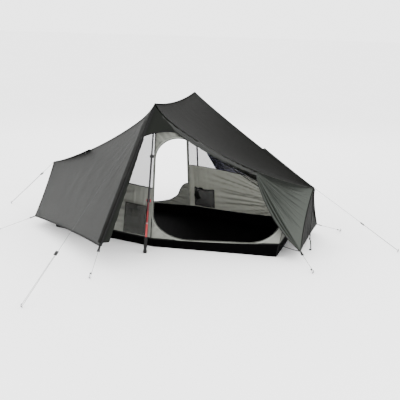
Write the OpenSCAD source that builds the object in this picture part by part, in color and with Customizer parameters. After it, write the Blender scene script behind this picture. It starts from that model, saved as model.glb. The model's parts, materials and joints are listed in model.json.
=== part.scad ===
// Two-pole ridge tent: a flysheet over a separate inner tent, held up by two trekking poles.
// X runs along the tent, -Y is the front with the open door, Z is up and the ground is z = 0.
// The layout repeats after half a turn about Z, so most rear pieces are turned front pieces.

/* [Flysheet] */
// Height of both peaks
peak_h = 1200; // [1000:10:1400]
// Distance from peak to peak, front to rear
ridge_len = 936; // [700:4:1100]
// Distance from the centre to the left and right apexes
apex_x = 1235; // [1100:5:1400]
// Height of the left and right apexes
apex_h = 520; // [420:10:620]
// Distance from the centre to the hem corners along X
corner_x = 1225; // [1100:5:1400]
// Distance from the centre to the hem corners along Y
corner_y = 385; // [300:5:460]
// Height of the hem corners
corner_h = 90; // [60:5:130]
// Sideways place of the foot of the door zip
door_x = 175; // [0:5:260]
// Distance of the foot of the door zip from the centre
door_y = 1120; // [950:10:1250]
// Height of the foot of the door zip
door_h = 185; // [120:5:240]
// Thickness of the fabric solids
cloth_t = 1.2; // [1:0.1:2.5]

/* [Inner tent] */
// Half length of the floor
floor_x = 1025; // [900:5:1100]
// Half width of the floor at its middle
floor_mid_y = 508; // [420:4:560]
// Half width of the floor at its ends
floor_end_y = 355; // [300:5:400]
// Height of the bathtub wall at its middle
tub_mid_h = 78; // [50:1:110]
// Height of the bathtub wall at its ends
tub_end_h = 120; // [90:5:160]
// Height of the inner tent's peaks
inner_peak_h = 1120; // [1000:10:1150]
// Height of the seam between wall fabric and mesh
seam_h = 500; // [420:10:600]

/* [Poles] */
// Distance of a pole's foot from the centre
foot_y = 678; // [600:2:760]
// Diameter of the section with the grip
upper_d = 18.6; // [16:0.1:20]
// Diameter of the middle section
middle_d = 16; // [14:0.1:17]
// Diameter of the section with the tip
lower_d = 13.4; // [12:0.1:14]
// Diameter of the grip
grip_d = 30; // [26:1:36]

/* [Guying] */
// Diameter of the cords
cord_d = 2.6; // [2:0.2:4]
// Length of a peg below its hook
peg_len = 150; // [120:5:200]
// Width of the webbing
web_w = 15; // [10:1:20]

/* [Hidden] */

// Key points of the flysheet
front = [0, -ridge_len / 2, peak_h];
rear = [0, ridge_len / 2, peak_h];
apex_half = 14;
right_front = [apex_x, -apex_half, apex_h];
right_rear = [apex_x, apex_half, apex_h];
hem_right = [corner_x, -corner_y, corner_h];
hem_left = [-corner_x, -corner_y, corner_h];
door_foot = [-door_x, -door_y, door_h];
// Ridge drop: how far a peak stands above its ridge, and the ridge's sag, on each kind of side
open_drop = [60, 95];
closed_drop = [52, 62];
far_drop = [6, 20];
ridge_sag = 37;
// Where along its ridge the open door is tied, and where its roll begins
tie_at = 0.635;
roll_at = 0.13;
roll_r = 21;
// Length of the tabs that prop the vent hoods open
prop_h = 19.5;
seam_gap = 0.004;

// Inner tent
tub_flare = 20;
inner_front_y = 418;
inner_apex = [1078, 12, 402];
inner_sag = 50;
wall_x = 1048;
piping_d = 5;
pocket_deep = 62;

// Poles, measured along the axis from the tip
lean = atan2(foot_y - ridge_len / 2 - 2, peak_h - 34);
pole_top = [0, -ridge_len / 2 - 2, peak_h - 34];
pole_len = norm(pole_top - [0, -foot_y, 0]);
lock_low_at = 376;
lock_high_at = 736;
lower_end = 500;
middle_end = 880;
grip_at = 1050;
tube_gap = 0.3;
lock_h = 28;
lock_wall = 3.2;
lever_gap = 0.5;
lever_t = 3.6;
ear_out = 4.2;
ear_r = 4;
pin_r = 1.5;

// Guying: tent end, peg, and the runner's place on each cord
peg_peak = [-325, -1935, 0];
peg_end_left = [-1840, 130, 0];
peg_end_right = [1950, 155, 0];
peg_corner_fl = [-1440, -700, 0];
peg_corner_fr = [1365, -600, 0];
peg_corner_rl = [-1365, 600, 0];
peg_corner_rr = [1420, 525, 0];
peg_door = [-150, -1330, 0];
peg_lean = 28;
eye_h = 12;
bend_r = 5.6;
strand_gap = 6;
knot_share = 0.86;
runner_len = 34;
slot_w = 4;
slot_h = 17;
web_len = 34;
web_t = 1.6;

// ---------- surfaces ----------

function mix(a, b, t) = a * (1 - t) + b * t;
function bow(a, b, sag, t) = mix(a, b, t) + 4 * t * (1 - t) * sag;
function turned(p) = [-p.x, -p.y, p.z];
function toward(a, b, d) = a + d * (b - a) / norm(b - a);

// A ridge from a peak to an apex, dropping below its straight line
function ridge(a, b, drop, t) =
  mix(a, b, t) - [0, 0, drop[0] * (1 - t) * (1 - pow(1 - t, 20)) + 4 * t * (1 - t) * drop[1]];

// Coons patch between four edges: c0 and c1 run along u, d0 and d1 along v
function coons(c0, c1, d0, d1, u, v) =
  mix(c0(u), c1(u), v) + mix(d0(v), d1(v), u)
  - mix(mix(c0(0), c0(1), u), mix(c1(0), c1(1), u), v);

// Closed shell of a grid of points, thickened by one vector
module shell(grid, off) {
  n = len(grid) - 1;
  m = len(grid[0]) - 1;
  w = m + 1;
  size = (n + 1) * w;
  facing = cross(grid[n][0] + grid[n][m] - grid[0][0] - grid[0][m],
    grid[0][m] + grid[n][m] - grid[0][0] - grid[n][0]) * off;
  top = [for (row = grid) for (j = [0 : m]) facing < 0 ? row[j] : row[m - j]];
  bottom = [for (p = top) p + off];
  quads = [for (i = [0 : n - 1]) for (j = [0 : m - 1]) i * w + j];
  polyhedron(concat(top, bottom), concat(
    [for (k = quads) [k, k + 1, k + w + 1]],
    [for (k = quads) [k, k + w + 1, k + w]],
    [for (k = quads) [size + k, size + k + w + 1, size + k + 1]],
    [for (k = quads) [size + k, size + k + w, size + k + w + 1]],
    [for (j = [0 : m - 1]) [j + 1, j, size + j]],
    [for (j = [0 : m - 1]) [j + 1, size + j, size + j + 1]],
    [for (j = [0 : m - 1]) [n * w + j, n * w + j + 1, size + n * w + j]],
    [for (j = [0 : m - 1]) [n * w + j + 1, size + n * w + j + 1, size + n * w + j]],
    [for (i = [0 : n - 1]) [i * w, (i + 1) * w, size + i * w]],
    [for (i = [0 : n - 1]) [(i + 1) * w, size + (i + 1) * w, size + i * w]],
    [for (i = [0 : n - 1]) [(i + 1) * w + m, i * w + m, size + i * w + m]],
    [for (i = [0 : n - 1]) [(i + 1) * w + m, size + i * w + m, size + (i + 1) * w + m]]));
}

// Cloth panel on a Coons patch, drawn in from its seams by a hair
module panel(c0, c1, d0, d1, n, m, off) {
  e = seam_gap;
  shell([for (i = [0 : n]) [for (j = [0 : m])
    coons(c0, c1, d0, d1, mix(e, 1 - e, i / n), mix(e, 1 - e, j / m))]], off);
}

// Tube of varying radius along a list of points
module tube(pts, radii, sides = 8) {
  n = len(pts) - 1;
  polyhedron(
    [for (i = [0 : n])
      let (along = pts[min(i + 1, n)] - pts[max(i - 1, 0)],
        ax = along / norm(along),
        side = cross(ax, abs(ax.z) > 0.9 ? [1, 0, 0] : [0, 0, 1]),
        e1 = side / norm(side),
        e2 = cross(ax, e1))
      for (k = [0 : sides - 1])
        let (a = 360 * k / sides, r = radii[i])
        pts[i] + r * (cos(a) * e1 + sin(a) * e2)],
    concat(
      [[for (k = [0 : sides - 1]) k]],
      [[for (k = [sides - 1 : -1 : 0]) n * sides + k]],
      [for (i = [0 : n - 1]) for (k = [0 : sides - 1])
        let (a = i * sides + k, b = i * sides + (k + 1) % sides)
        [b, a, a + sides]],
      [for (i = [0 : n - 1]) for (k = [0 : sides - 1])
        let (a = i * sides + k, b = i * sides + (k + 1) % sides)
        [b, a + sides, b + sides]]));
}

module cord(pts) {
  tube(pts, [for (p = pts) cord_d / 2]);
}

// ---------- flysheet ----------

function ridge_ff(t) = bow(front, rear, [0, 0, -ridge_sag], t);
function open_ridge(t) = ridge(front, right_front, open_drop, t);
function zip_line(t) = mix(front, door_foot, t);

module roof() {
  panel(
    function (t) open_ridge(t),
    function (t) ridge(rear, right_rear, far_drop, t),
    function (t) ridge_ff(t),
    function (t) mix(right_front, right_rear, t),
    22, 8, [0, 0, -cloth_t]);
}

// The left roof: its front ridge is the closed one that the camera side shows
module roof_left_panel() {
  panel(
    function (t) ridge(turned(rear), turned(right_rear), closed_drop, t),
    function (t) ridge(rear, turned(right_front), open_drop, t),
    function (t) ridge_ff(t),
    function (t) mix(turned(right_rear), turned(right_front), t),
    22, 8, [0, 0, -cloth_t]);
}

// Door half that is zipped down to the hem, from the ridge (v = 0) to the hem (v = 1)
left_front = turned(right_rear);
function closed_point(drop, u, v) = coons(
  function (t) ridge(front, left_front, drop, t),
  function (t) bow(door_foot, hem_left, [0, 12, 10], t),
  function (t) zip_line(t),
  function (t) bow(left_front, hem_left, [20, 0, 0], t), u, v);

module closed_door(drop) {
  e = seam_gap;
  shell([for (u = [0 : 16]) [for (v = [0 : 10])
    closed_point(drop, mix(e, 1 - e, u / 16), mix(e, 1 - e, v / 10))]], [0, cloth_t, 0]);
}

// Door half that is rolled up under its ridge and tied back
module open_door() {
  tie = open_ridge(tie_at);
  hang = tie + [14, -22, -30];
  roll_start = open_ridge(roll_at);
  roll_n = 12;
  // the part that stays stretched between the tie, the apex and the hem corner
  panel(
    function (t) open_ridge(mix(tie_at, 1, t)) - [0, 2, 2],
    function (t) bow(hang, hem_right, [-8, -30, 0], t),
    function (t) mix(tie - [0, 2, 2], hang, t),
    function (t) bow(right_front - [0, 2, 2], hem_right, [-20, 0, 0], t),
    12, 8, [0, cloth_t, 0]);
  // the roll
  tube(
    [for (i = [0 : roll_n])
      open_ridge(mix(roll_at, tie_at - 0.02, i / roll_n)) - [0, 10, roll_r + 3]],
    [for (i = [0 : roll_n]) mix(roll_r, roll_r * 0.7, i / roll_n)], 10);
  // the top of the door above the opening
  panel(
    function (t) open_ridge(mix(0.012, roll_at, t)) - [0, 3, 3],
    function (t) bow(zip_line(0.24), roll_start - [0, 12, 48], [0, 10, 18], t),
    function (t) zip_line(mix(0.012, 0.24, t)) + [3, 0, -2],
    function (t) roll_start - [0, mix(3, 12, t), mix(3, 48, t)],
    8, 6, [0, cloth_t, 0]);
}

module end_panel() {
  panel(
    function (t) bow(right_front, hem_right, [-20, 0, 0], t),
    function (t) bow(right_rear, turned(hem_left), [-20, 0, 0], t),
    function (t) mix(right_front, right_rear, t),
    function (t) bow(hem_right, turned(hem_left), [0, 0, 12], t),
    8, 8, [-cloth_t, 0, 0]);
}

// Zip tape on the edge of the closed half, with the storm flap behind it
module zip_tape() {
  flap_w = 62;
  n = 12;
  color([0.07, 0.07, 0.07])
    panel(
      function (t) zip_line(mix(0.03, 1, t)) + [-5, -1.5, 0],
      function (t) zip_line(mix(0.03, 1, t)) + [5, -1.5, 0],
      function (t) zip_line(0.03) + [mix(-5, 5, t), -1.5, 0],
      function (t) door_foot + [mix(-5, 5, t), -1.5, 0],
      n, 1, [0, -1.2, 0]);
  color([0.18, 0.19, 0.18])
    panel(
      function (t) zip_line(mix(0.26, 0.985, t)) + [2, 3, 0],
      function (t) zip_line(mix(0.26, 0.985, t)) + [mix(14, flap_w, t), 12, mix(0, 14, t)],
      function (t) zip_line(0.26) + [mix(2, 14, t), mix(3, 12, t), 0],
      function (t) zip_line(0.985) + [mix(2, flap_w, t), mix(3, 12, t), mix(0, 14, t)],
      n, 3, [0, cloth_t, 0]);
}

module zip_slider() {
  p = zip_line(0.25) + [0, -3.1, 0];
  tilt = atan2(door_y - ridge_len / 2, peak_h - door_h);
  color([0.1, 0.1, 0.1]) translate(p) rotate([-tilt, 0, 0]) {
    translate([0, -2.5, 0]) cube([9, 4, 13], center = true);
    difference() {
      translate([-2.5, -5.8, -26]) cube([5, 1.2, 26]);
      translate([0, -4, -22]) rotate([90, 0, 0]) cylinder(h = 3, r = 1.2, $fn = 16);
    }
  }
}

// Stiffened hood over the slit in the closed side's ridge, near the apex
module vent_hood(drop) {
  t0 = 0.6;
  t1 = 0.95;
  lip = [-6, -44, 2];
  panel(
    function (t) ridge(front, left_front, drop, mix(t0, t1, t)) + [0, -2, 2],
    function (t) ridge(front, left_front, drop, mix(t0, t1, t)) + lip * mix(1, 0.12, t),
    function (t) ridge(front, left_front, drop, t0) + mix([0, -2, 2], lip, t),
    function (t) ridge(front, left_front, drop, t1) + mix([0, -2, 2], lip * 0.12, t),
    10, 4, [0, 0, 1.6]);
}

// Stiff tab that props a hood open, hinged at its foot on the door panel
function prop_foot(drop) = closed_point(drop, 0.635, 0.052) + [0, -5.4, 6];

module vent_prop(drop) {
  color([0.05, 0.05, 0.05]) translate(prop_foot(drop)) {
    translate([-9, 0, 0]) rotate([0, 90, 0]) cylinder(h = 18, r = 2.4, $fn = 20);
    translate([-7, -1.2, 1]) cube([14, 2.4, prop_h]);
    translate([-8, -2.4, prop_h]) cube([16, 4.8, 2]);
  }
}

module pole_cup() {
  color([0.06, 0.06, 0.06])
    translate(pole_top) rotate([-lean, 0, 0])
      difference() {
        translate([0, 0, -26]) cylinder(h = 30, r1 = 11.5, r2 = 8, $fn = 32);
        translate([0, 0, -27]) cylinder(h = 25, d = lower_d + 1.2, $fn = 32);
      }
}

module toggle() {
  tie = open_ridge(tie_at - 0.03) - [0, 10, roll_r + 3];
  color([0.05, 0.05, 0.05]) {
    translate(tie + [0, -roll_r - 2, -4]) rotate([0, 90, 30])
      cylinder(h = 26, r = 3, center = true, $fn = 20);
    translate(tie) rotate([0, 118, 20])
      rotate_extrude($fn = 40) translate([roll_r * 0.86, -4]) square([1.4, 8]);
  }
}

module end_strut() {
  foot = [corner_x + 7, 0, 66];
  head = [apex_x + 9, 0, apex_h - 12];
  tilt = atan2(head.x - foot.x, head.z - foot.z);
  span = norm(head - foot);
  translate(foot) rotate([0, tilt, 0]) {
    color([0.08, 0.08, 0.08]) cylinder(h = span, r = 4.2, $fn = 24);
    color([0.03, 0.03, 0.03]) translate([0, 0, -3]) cylinder(h = 16, r = 6.5, $fn = 24);
    color([0.03, 0.03, 0.03]) translate([0, 0, span - 14]) cylinder(h = 18, r = 6, $fn = 24);
  }
}

// ---------- webbing and adjusters ----------

// Flat strap from p to q
module strap(p, q, w = web_w) {
  along = (q - p) / norm(q - p);
  level = cross(along, [0, 0, 1]);
  side = level / norm(level) * w / 2;
  shell([for (k = [-1 : 2 : 1]) [p + k * side, mix(p, q, 0.5) + k * side, q + k * side]],
    cross(side / norm(side), along) * web_t);
}

// Ladder-lock buckle at the end of a strap
module adjuster(p, q) {
  d = q - p;
  turn = atan2(d.y, d.x);
  dip = asin(-d.z / norm(d));
  translate(p) rotate([0, dip, turn]) difference() {
    translate([0, -web_w / 2 - 3, -2.4]) cube([20, web_w + 6, 4.8]);
    translate([4, -web_w / 2, -4]) cube([4, web_w, 8]);
    translate([12, -web_w / 2, -4]) cube([4, web_w, 8]);
  }
}

function hem_points() = [
  [hem_right, peg_corner_fr], [hem_left, peg_corner_fl],
  [turned(hem_left), peg_corner_rr], [turned(hem_right), peg_corner_rl],
  [door_foot, peg_door], [turned(door_foot), turned(peg_door)]];

function web_end(k) = let (h = hem_points()[k]) toward(h[0], h[1], web_len);
function cord_start(k) = let (h = hem_points()[k]) toward(h[0], h[1], web_len + 20);

module hem_webbing() {
  color([0.08, 0.08, 0.08]) {
    for (k = [0 : 5]) strap(toward(hem_points()[k][0], hem_points()[k][1], 1.5), web_end(k));
    for (s = [1, -1]) half_turn(s) {
      strap([corner_x + 14, 0, 62], [corner_x + 30, -57, 8], 10);
      strap([apex_x + 2, 0, apex_h + 4], apex_web(), 10);
    }
  }
}

// Half turn about Z for s = -1
module half_turn(s) {
  rotate([0, 0, s > 0 ? 0 : 180]) children();
}

function apex_web() = toward([apex_x + 2, 0, apex_h + 4], peg_end_right, 32);

module hem_adjusters() {
  color([0.04, 0.04, 0.04]) {
    for (k = [0 : 5]) adjuster(web_end(k), hem_points()[k][1]);
    for (s = [1, -1]) half_turn(s)
      translate([corner_x + 30, -76, 0]) difference() {
        translate([-10, -10, 0]) cube([20, 26, 6]);
        translate([-6, -5, -1]) cube([12, 4, 8]);
        translate([-6, 4, -1]) cube([12, 4, 8]);
      }
  }
}

// ---------- inner tent ----------

function tub_h(x) = mix(tub_mid_h, tub_end_h, pow(abs(x) / wall_x, 2));
function tub_y(x) = mix(floor_mid_y, floor_end_y, min(1, abs(x) / floor_x)) + tub_flare;
function wall_low(x) = [x, -tub_y(x), tub_h(x) + 1];
function wall_high(x) =
  let (t = abs(x) / inner_apex.x)
  [x, -mix(inner_front_y, inner_apex.y, t),
    mix(inner_peak_h, inner_apex.z, t) - 4 * t * (1 - t) * inner_sag];
function wall_at(x, z) =
  let (a = wall_low(x), b = wall_high(x)) mix(a, b, (z - a.z) / (b.z - a.z));

// Bathtub floor: a tray with six corners and flared walls
module bathtub() {
  t = 1.4;
  xs = [for (k = [-6 : 6]) k / 6];
  function side(f, h, rim, s) =
    [for (k = xs) let (x = -s * k * (floor_x + f), y = mix(floor_mid_y, floor_end_y, abs(k)) + f)
      [x, s * y, rim ? tub_h(x) : h]];
  function ring(f, h, rim) = concat(side(f, h, rim, -1), side(f, h, rim, 1));
  rings = [ring(0, 0, false), ring(tub_flare, 0, true), ring(tub_flare - t, 0, true),
    ring(-t, t, false)];
  n = len(rings[0]);
  polyhedron([for (r = rings) for (p = r) p], concat(
    [for (k = [0 : n / 2 - 2]) [k, k + 1, n - k - 2, n - k - 1]],
    [for (k = [0 : n / 2 - 2]) [3 * n + k + 1, 3 * n + k, 4 * n - k - 1, 4 * n - k - 2]],
    [for (i = [0 : 2]) for (k = [0 : n - 1])
      [i * n + k, (i + 1) * n + k, (i + 1) * n + (k + 1) % n]],
    [for (i = [0 : 2]) for (k = [0 : n - 1])
      [i * n + k, (i + 1) * n + (k + 1) % n, i * n + (k + 1) % n]]));
}

// Outline of the inner door, seen from the front
module door_outline() {
  hull() {
    translate([165, 750]) circle(r = 165, $fn = 48);
    translate([905, 265]) circle(r = 125, $fn = 48);
    translate([130, 250]) circle(r = 130, $fn = 48);
  }
}

module door_prism() {
  rotate([90, 0, 0]) translate([0, 0, 200])
    linear_extrude(500) door_outline();
}

module wall_sheet() {
  panel(
    function (t) wall_low(mix(-wall_x, wall_x, t)),
    function (t) wall_high(mix(-wall_x, wall_x, t)),
    function (t) mix(wall_low(-wall_x), wall_high(-wall_x), t),
    function (t) mix(wall_low(wall_x), wall_high(wall_x), t),
    28, 2, [0, cloth_t, 0]);
}

// The mesh window lies above the seam, on the side away from the door
module mesh_zone(grow) {
  translate([-1200, -700, seam_h - grow]) cube([1200 - 36 + grow, 600, 900]);
}

module inner_wall() {
  difference() {
    wall_sheet();
    door_prism();
    mesh_zone(0);
  }
}

module mesh_window() {
  intersection() {
    wall_sheet();
    mesh_zone(-0.4);
  }
}

module canopy() {
  top = [for (x = [-1 : 0.1 : 1.001]) wall_high(x * wall_x)];
  n = len(top) - 1;
  sag = 26;
  shell([for (i = [0 : n]) [for (j = [0 : 4])
    let (p = top[i], q = turned(top[n - i]), t = mix(0.006, 0.994, j / 4))
    bow(p, q, [0, 0, -sag], t) + [0, 0, 1.5]]], [0, 0, cloth_t]);
  for (s = [1, -1]) half_turn(s)
    shell([for (i = [0 : 5]) [for (j = [0 : 4])
      let (a = wall_low(wall_x) + [3, 4, 0], b = wall_high(wall_x) + [3, 1, 0],
        p = mix(a, b, mix(0.01, 0.98, i / 5)))
      [p.x, mix(p.y, -p.y, j / 4), p.z]]], [cloth_t, 0, 0]);
}

// Door flap stuffed into its pocket, which bulges in front of it
module stuffed_flap(x0, x1, z1) {
  n = 8;
  ts = [for (i = [0 : n]) mix(0.18, 0.82, i / n)];
  tube([for (t = ts) wall_at(mix(x0, x1, t), z1 - 14) + [0, 5 + pocket_deep / 2 * sin(180 * t), 0]],
    [for (t = ts) pocket_deep / 2 * sin(180 * t) - 8], 12);
}

module pocket(x0, x1, z0, z1) {
  panel(
    function (t) wall_at(mix(x0, x1, t), z0) + [0, 5, 0],
    function (t) wall_at(mix(x0, x1, t), z1) + [0, 6 + pocket_deep * sin(180 * t), 0],
    function (t) wall_at(x0, mix(z0, z1, t)) + [0, 5 + t, 0],
    function (t) wall_at(x1, mix(z0, z1, t)) + [0, 5 + t, 0],
    12, 8, [0, cloth_t, 0]);
}

// Zip along the door's edge, on the wall
module door_zip() {
  arc_n = 8;
  corners = [[130, 250, 130, 270, 180], [165, 750, 165, 180, 57], [905, 265, 125, 57, -88]];
  outline = [for (c = corners) for (i = [0 : arc_n])
    let (a = mix(c[3], c[4], i / arc_n)) [c[0] + c[2] * cos(a), c[1] + c[2] * sin(a)]];
  closed = concat(outline, [outline[0]]);
  tube([for (p = closed) wall_at(p.x, p.y) + [0, -4, 0]],
    [for (p = closed) piping_d / 2], 6);
}

// ---------- poles ----------

// Places a child s along the pole from its tip, with the child's +Z up the pole
module on_pole(s) {
  translate(pole_top) rotate([-lean, 0, 0]) translate([0, 0, -s]) children();
}

module hollow(s0, s1, d, bore) {
  on_pole(s1) difference() {
    cylinder(h = s1 - s0, d = d, $fn = 36);
    translate([0, 0, -1]) cylinder(h = s1 - s0 + 2, d = bore, $fn = 36);
  }
}

module pole_lower() {
  color([0.05, 0.05, 0.05]) {
    hollow(18, lower_end, lower_d, lower_d - 1.8);
    on_pole(18) cylinder(h = 12, r1 = lower_d / 2, r2 = 4, $fn = 36);
  }
}

module pole_middle() {
  color([0.06, 0.06, 0.07])
    hollow(lock_low_at + 4, middle_end, middle_d, lower_d + 2 * tube_gap);
}

module pole_upper() {
  color([0.75, 0.2, 0.22])
    hollow(lock_high_at + 4, pole_len - 24, upper_d, middle_d + 2 * tube_gap);
}

module pole_grip() {
  bore = upper_d;
  span = pole_len - grip_at;
  color([0.04, 0.04, 0.04]) on_pole(pole_len - 1)
    rotate_extrude($fn = 48) polygon([
      [0, 0], [15, 0], [grip_d / 2 + 2, 8], [grip_d / 2 + 1, 20], [grip_d / 2 - 3, 34],
      [grip_d / 2 - 1, 60], [grip_d / 2 - 3, 86], [grip_d / 2, 110], [bore / 2 + 2, span - 1],
      [bore / 2, span - 1], [bore / 2, 22], [0, 22]]);
}

// Clamp collar on the end of tube diameter d, with two ears for the lever's pin
module lock_collar(s, d) {
  r = d / 2 + lock_wall;
  ear_x = r + ear_out;
  color([0.05, 0.05, 0.05]) on_pole(s + lock_h) difference() {
    union() {
      cylinder(h = lock_h, r = r, $fn = 40);
      for (z = [1, lock_h - 5]) translate([0, -ear_r, z]) cube([ear_x, 2 * ear_r, 4]);
      for (z = [1, lock_h - 5]) translate([ear_x, 0, z]) cylinder(h = 4, r = ear_r, $fn = 28);
      translate([ear_x, 0, 4.5]) cylinder(h = lock_h - 9, r = pin_r, $fn = 24);
    }
    translate([0, 0, -1]) cylinder(h = lock_h - 3, d = d, $fn = 36);
    translate([0, 0, -1]) cylinder(h = lock_h + 2, d = d - 2, $fn = 36);
  }
}

// Lever seen down the pole: a curved strap from the pin's ear to the thumb tab
module lever_outline(r, ear_x) {
  difference() {
    union() {
      intersection() {
        circle(r = r + lever_t, $fn = 48);
        polygon([for (a = [0, 12, 62, 112, 162]) a == 0 ? [0, 0] : 3 * r * [cos(a), sin(a)]]);
      }
      translate([ear_x, 0]) circle(r = ear_r, $fn = 28);
      rotate(158) translate([r + lever_gap, 0]) square([8, 3]);
    }
    translate([ear_x, 0]) circle(r = pin_r + 0.3, $fn = 24);
    circle(r = r + lever_gap, $fn = 48);
  }
}

// Lever that wraps round the collar and turns on the pin
module lock_lever(s, d, shade) {
  r = d / 2 + lock_wall;
  h = lock_h - 10 - 2 * lever_gap;
  color(shade) on_pole(s + lock_h) translate([0, 0, 5 + lever_gap])
    linear_extrude(height = h) lever_outline(r, r + ear_out);
}

module pole_lock_high() {
  lock_collar(lock_high_at, upper_d);
}

module pole_lock_low() {
  lock_collar(lock_low_at, middle_d);
}

// ---------- guying ----------

// Centre of a peg's shaft at the height where its cord goes round it
function eye(peg) =
  let (r = norm([peg.x, peg.y])) peg + eye_h * [peg.x / r * tan(peg_lean), peg.y / r * tan(peg_lean), 1];

// Sideways unit vector of a cord that runs from start to its peg
function beside(start, peg) =
  let (level = cross(eye(peg) - start, [0, 0, 1])) level / norm(level);
function near_side(start, peg) = eye(peg) - bend_r * beside(start, peg);

// Straight cord to the peg, half a turn round it, and a return strand that ends at a share of
// the way, a strand's width beside the first
function looped(start, peg, share, gap = strand_gap) =
  let (m = near_side(start, peg), side = beside(start, peg), d = (m - start) / norm(m - start),
    back = mix(start, m, share) + gap * side, turn_end = m + 2 * bend_r * side)
  concat(
    [for (i = [0 : 10]) mix(start, m, i / 10)],
    [for (a = [-60 : 30 : 60]) eye(peg) + bend_r * (cos(a) * d + sin(a) * side)],
    [for (i = [0 : 5]) mix(turn_end, back, i / 5)]);

guy_front_start = [0, -ridge_len / 2 - 14, peak_h - 8];
guy_end_start = apex_web();
guy_left_start = toward([-apex_x - 2, 0, apex_h + 4], peg_end_left, 32);
share_peak = 0.773;
share_left = 0.26;
share_right = 0.555;

// Runner: a bar with one slot that both strands pass through
module runner(start, peg, share) {
  m = near_side(start, peg);
  d = m - start;
  turn = atan2(d.y, d.x);
  dip = asin(-d.z / norm(d));
  wall = 3.5;
  low = 3 - slot_h;
  color([0.05, 0.05, 0.05]) translate(mix(start, m, share)) rotate([0, dip, turn])
    difference() {
      translate([-runner_len / 2, low - wall, -4]) cube([runner_len, slot_h + 2 * wall, 8]);
      translate([-runner_len / 2 - 1, low, -slot_w / 2]) cube([runner_len + 2, slot_h, slot_w]);
    }
}

// Peg with a hooked head, driven in at a slant away from the tent
module peg(p) {
  turn = atan2(p.y, p.x);
  color([0.62, 0.63, 0.65]) translate(p) rotate([0, 0, turn]) rotate([0, peg_lean, 0]) {
    translate([0, 0, -peg_len]) cylinder(h = peg_len + 18, r = 3, $fn = 20);
    translate([0, 0, -peg_len - 14]) cylinder(h = 14, r1 = 0.6, r2 = 3, $fn = 20);
    translate([-8, 0, 18]) rotate([90, 0, 0]) rotate_extrude(angle = 105, $fn = 40)
      translate([8, 0]) circle(r = 3, $fn = 20);
  }
}

// ---------- nodes ----------

fly_dark = [0.23, 0.23, 0.22];
fly_grey = [0.38, 0.39, 0.37];
fly_green = [0.4, 0.43, 0.4];
pale = [0.62, 0.64, 0.6];
mesh_grey = [0.68, 0.68, 0.72];
black = [0.04, 0.04, 0.04];
cord_grey = [0.7, 0.7, 0.68];
lock_red = [0.75, 0.15, 0.25];

module fly_roof_right() { color(fly_dark) roof(); }
module fly_roof_left() { color(fly_dark) roof_left_panel(); }
module fly_door_front_closed() { color(fly_grey) closed_door(closed_drop); }
module fly_door_rear_closed() { color(fly_grey) half_turn(-1) closed_door(far_drop); }
module fly_door_front_open() { color(fly_green) open_door(); }
module fly_door_rear_open() { color(fly_green) half_turn(-1) open_door(); }
module fly_end_right() { color(fly_dark) end_panel(); }
module fly_end_left() { color(fly_dark) half_turn(-1) end_panel(); }

module both() {
  children();
  half_turn(-1) children();
}

fly_roof_left();
fly_roof_right();
fly_door_front_closed();
fly_door_rear_closed();
fly_door_front_open();
fly_door_rear_open();
fly_end_left();
fly_end_right();
both() zip_tape();  // fly_zip_tapes
zip_slider();  // fly_zip_slider_front
half_turn(-1) zip_slider();  // fly_zip_slider_rear
union() {  // vent_hoods
  color(fly_dark) vent_hood(closed_drop);
  color(fly_dark) half_turn(-1) vent_hood(far_drop);
}
vent_prop(closed_drop);  // vent_prop_left
half_turn(-1) vent_prop(far_drop);  // vent_prop_right
both() pole_cup();  // pole_cups
both() toggle();  // door_toggles
both() end_strut();  // end_struts
hem_webbing();
hem_adjusters();
color(black) bathtub();  // inner_floor
color(pale) inner_wall();  // inner_wall_front
color(pale) half_turn(-1) inner_wall();  // inner_wall_rear
color(mesh_grey) both() mesh_window();  // inner_mesh
color(pale) canopy();  // inner_canopy
color(pale) stuffed_flap(-280, -80, 345);  // inner_door_front
color(pale) half_turn(-1) stuffed_flap(-216, -8, 285);  // inner_door_rear
union() {  // inner_pockets
  color(black) pocket(-280, -80, 110, 345);
  color(black) half_turn(-1) pocket(-216, -8, 100, 285);
}
color(black) both() door_zip();  // inner_zips
color(black) both() {  // inner_corner_straps
    strap([wall_x + 2, -tub_y(wall_x) - 1, tub_end_h - 4], hem_right + [-6, 4, -5], 5);
    strap(turned([wall_x + 2, tub_y(wall_x) + 1, 0]) + [0, 0, tub_end_h - 4],
      hem_left + [6, 4, -5], 5);
  }
pole_grip();  // pole_front_grip
pole_upper();  // pole_front_upper
pole_middle();  // pole_front_middle
pole_lower();  // pole_front_lower
pole_lock_high();  // pole_front_lock_upper
pole_lock_low();  // pole_front_lock_lower
lock_lever(lock_high_at, upper_d, lock_red);  // pole_front_lever_upper
lock_lever(lock_low_at, middle_d, black);  // pole_front_lever_lower
half_turn(-1) pole_grip();  // pole_rear_grip
half_turn(-1) pole_upper();  // pole_rear_upper
half_turn(-1) pole_middle();  // pole_rear_middle
half_turn(-1) pole_lower();  // pole_rear_lower
half_turn(-1) pole_lock_high();  // pole_rear_lock_upper
half_turn(-1) pole_lock_low();  // pole_rear_lock_lower
half_turn(-1) lock_lever(lock_high_at, upper_d, lock_red);  // pole_rear_lever_upper
half_turn(-1) lock_lever(lock_low_at, middle_d, black);  // pole_rear_lever_lower
color(cord_grey) cord(looped(guy_front_start, peg_peak, share_peak));  // guy_peak_front
color(cord_grey) half_turn(-1) cord(looped(guy_front_start, peg_peak, share_peak));  // guy_peak_rear
color(cord_grey) cord(looped(guy_left_start, peg_end_left, share_left));  // guy_end_left
color(cord_grey) cord(looped(guy_end_start, peg_end_right, share_right));  // guy_end_right
color(cord_grey) cord(looped(cord_start(0), peg_corner_fr, knot_share, 2 * bend_r));  // guy_corner_front_right
color(cord_grey) cord(looped(cord_start(1), peg_corner_fl, knot_share, 2 * bend_r));  // guy_corner_front_left
color(cord_grey) cord(looped(cord_start(2), peg_corner_rr, knot_share, 2 * bend_r));  // guy_corner_rear_right
color(cord_grey) cord(looped(cord_start(3), peg_corner_rl, knot_share, 2 * bend_r));  // guy_corner_rear_left
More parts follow.
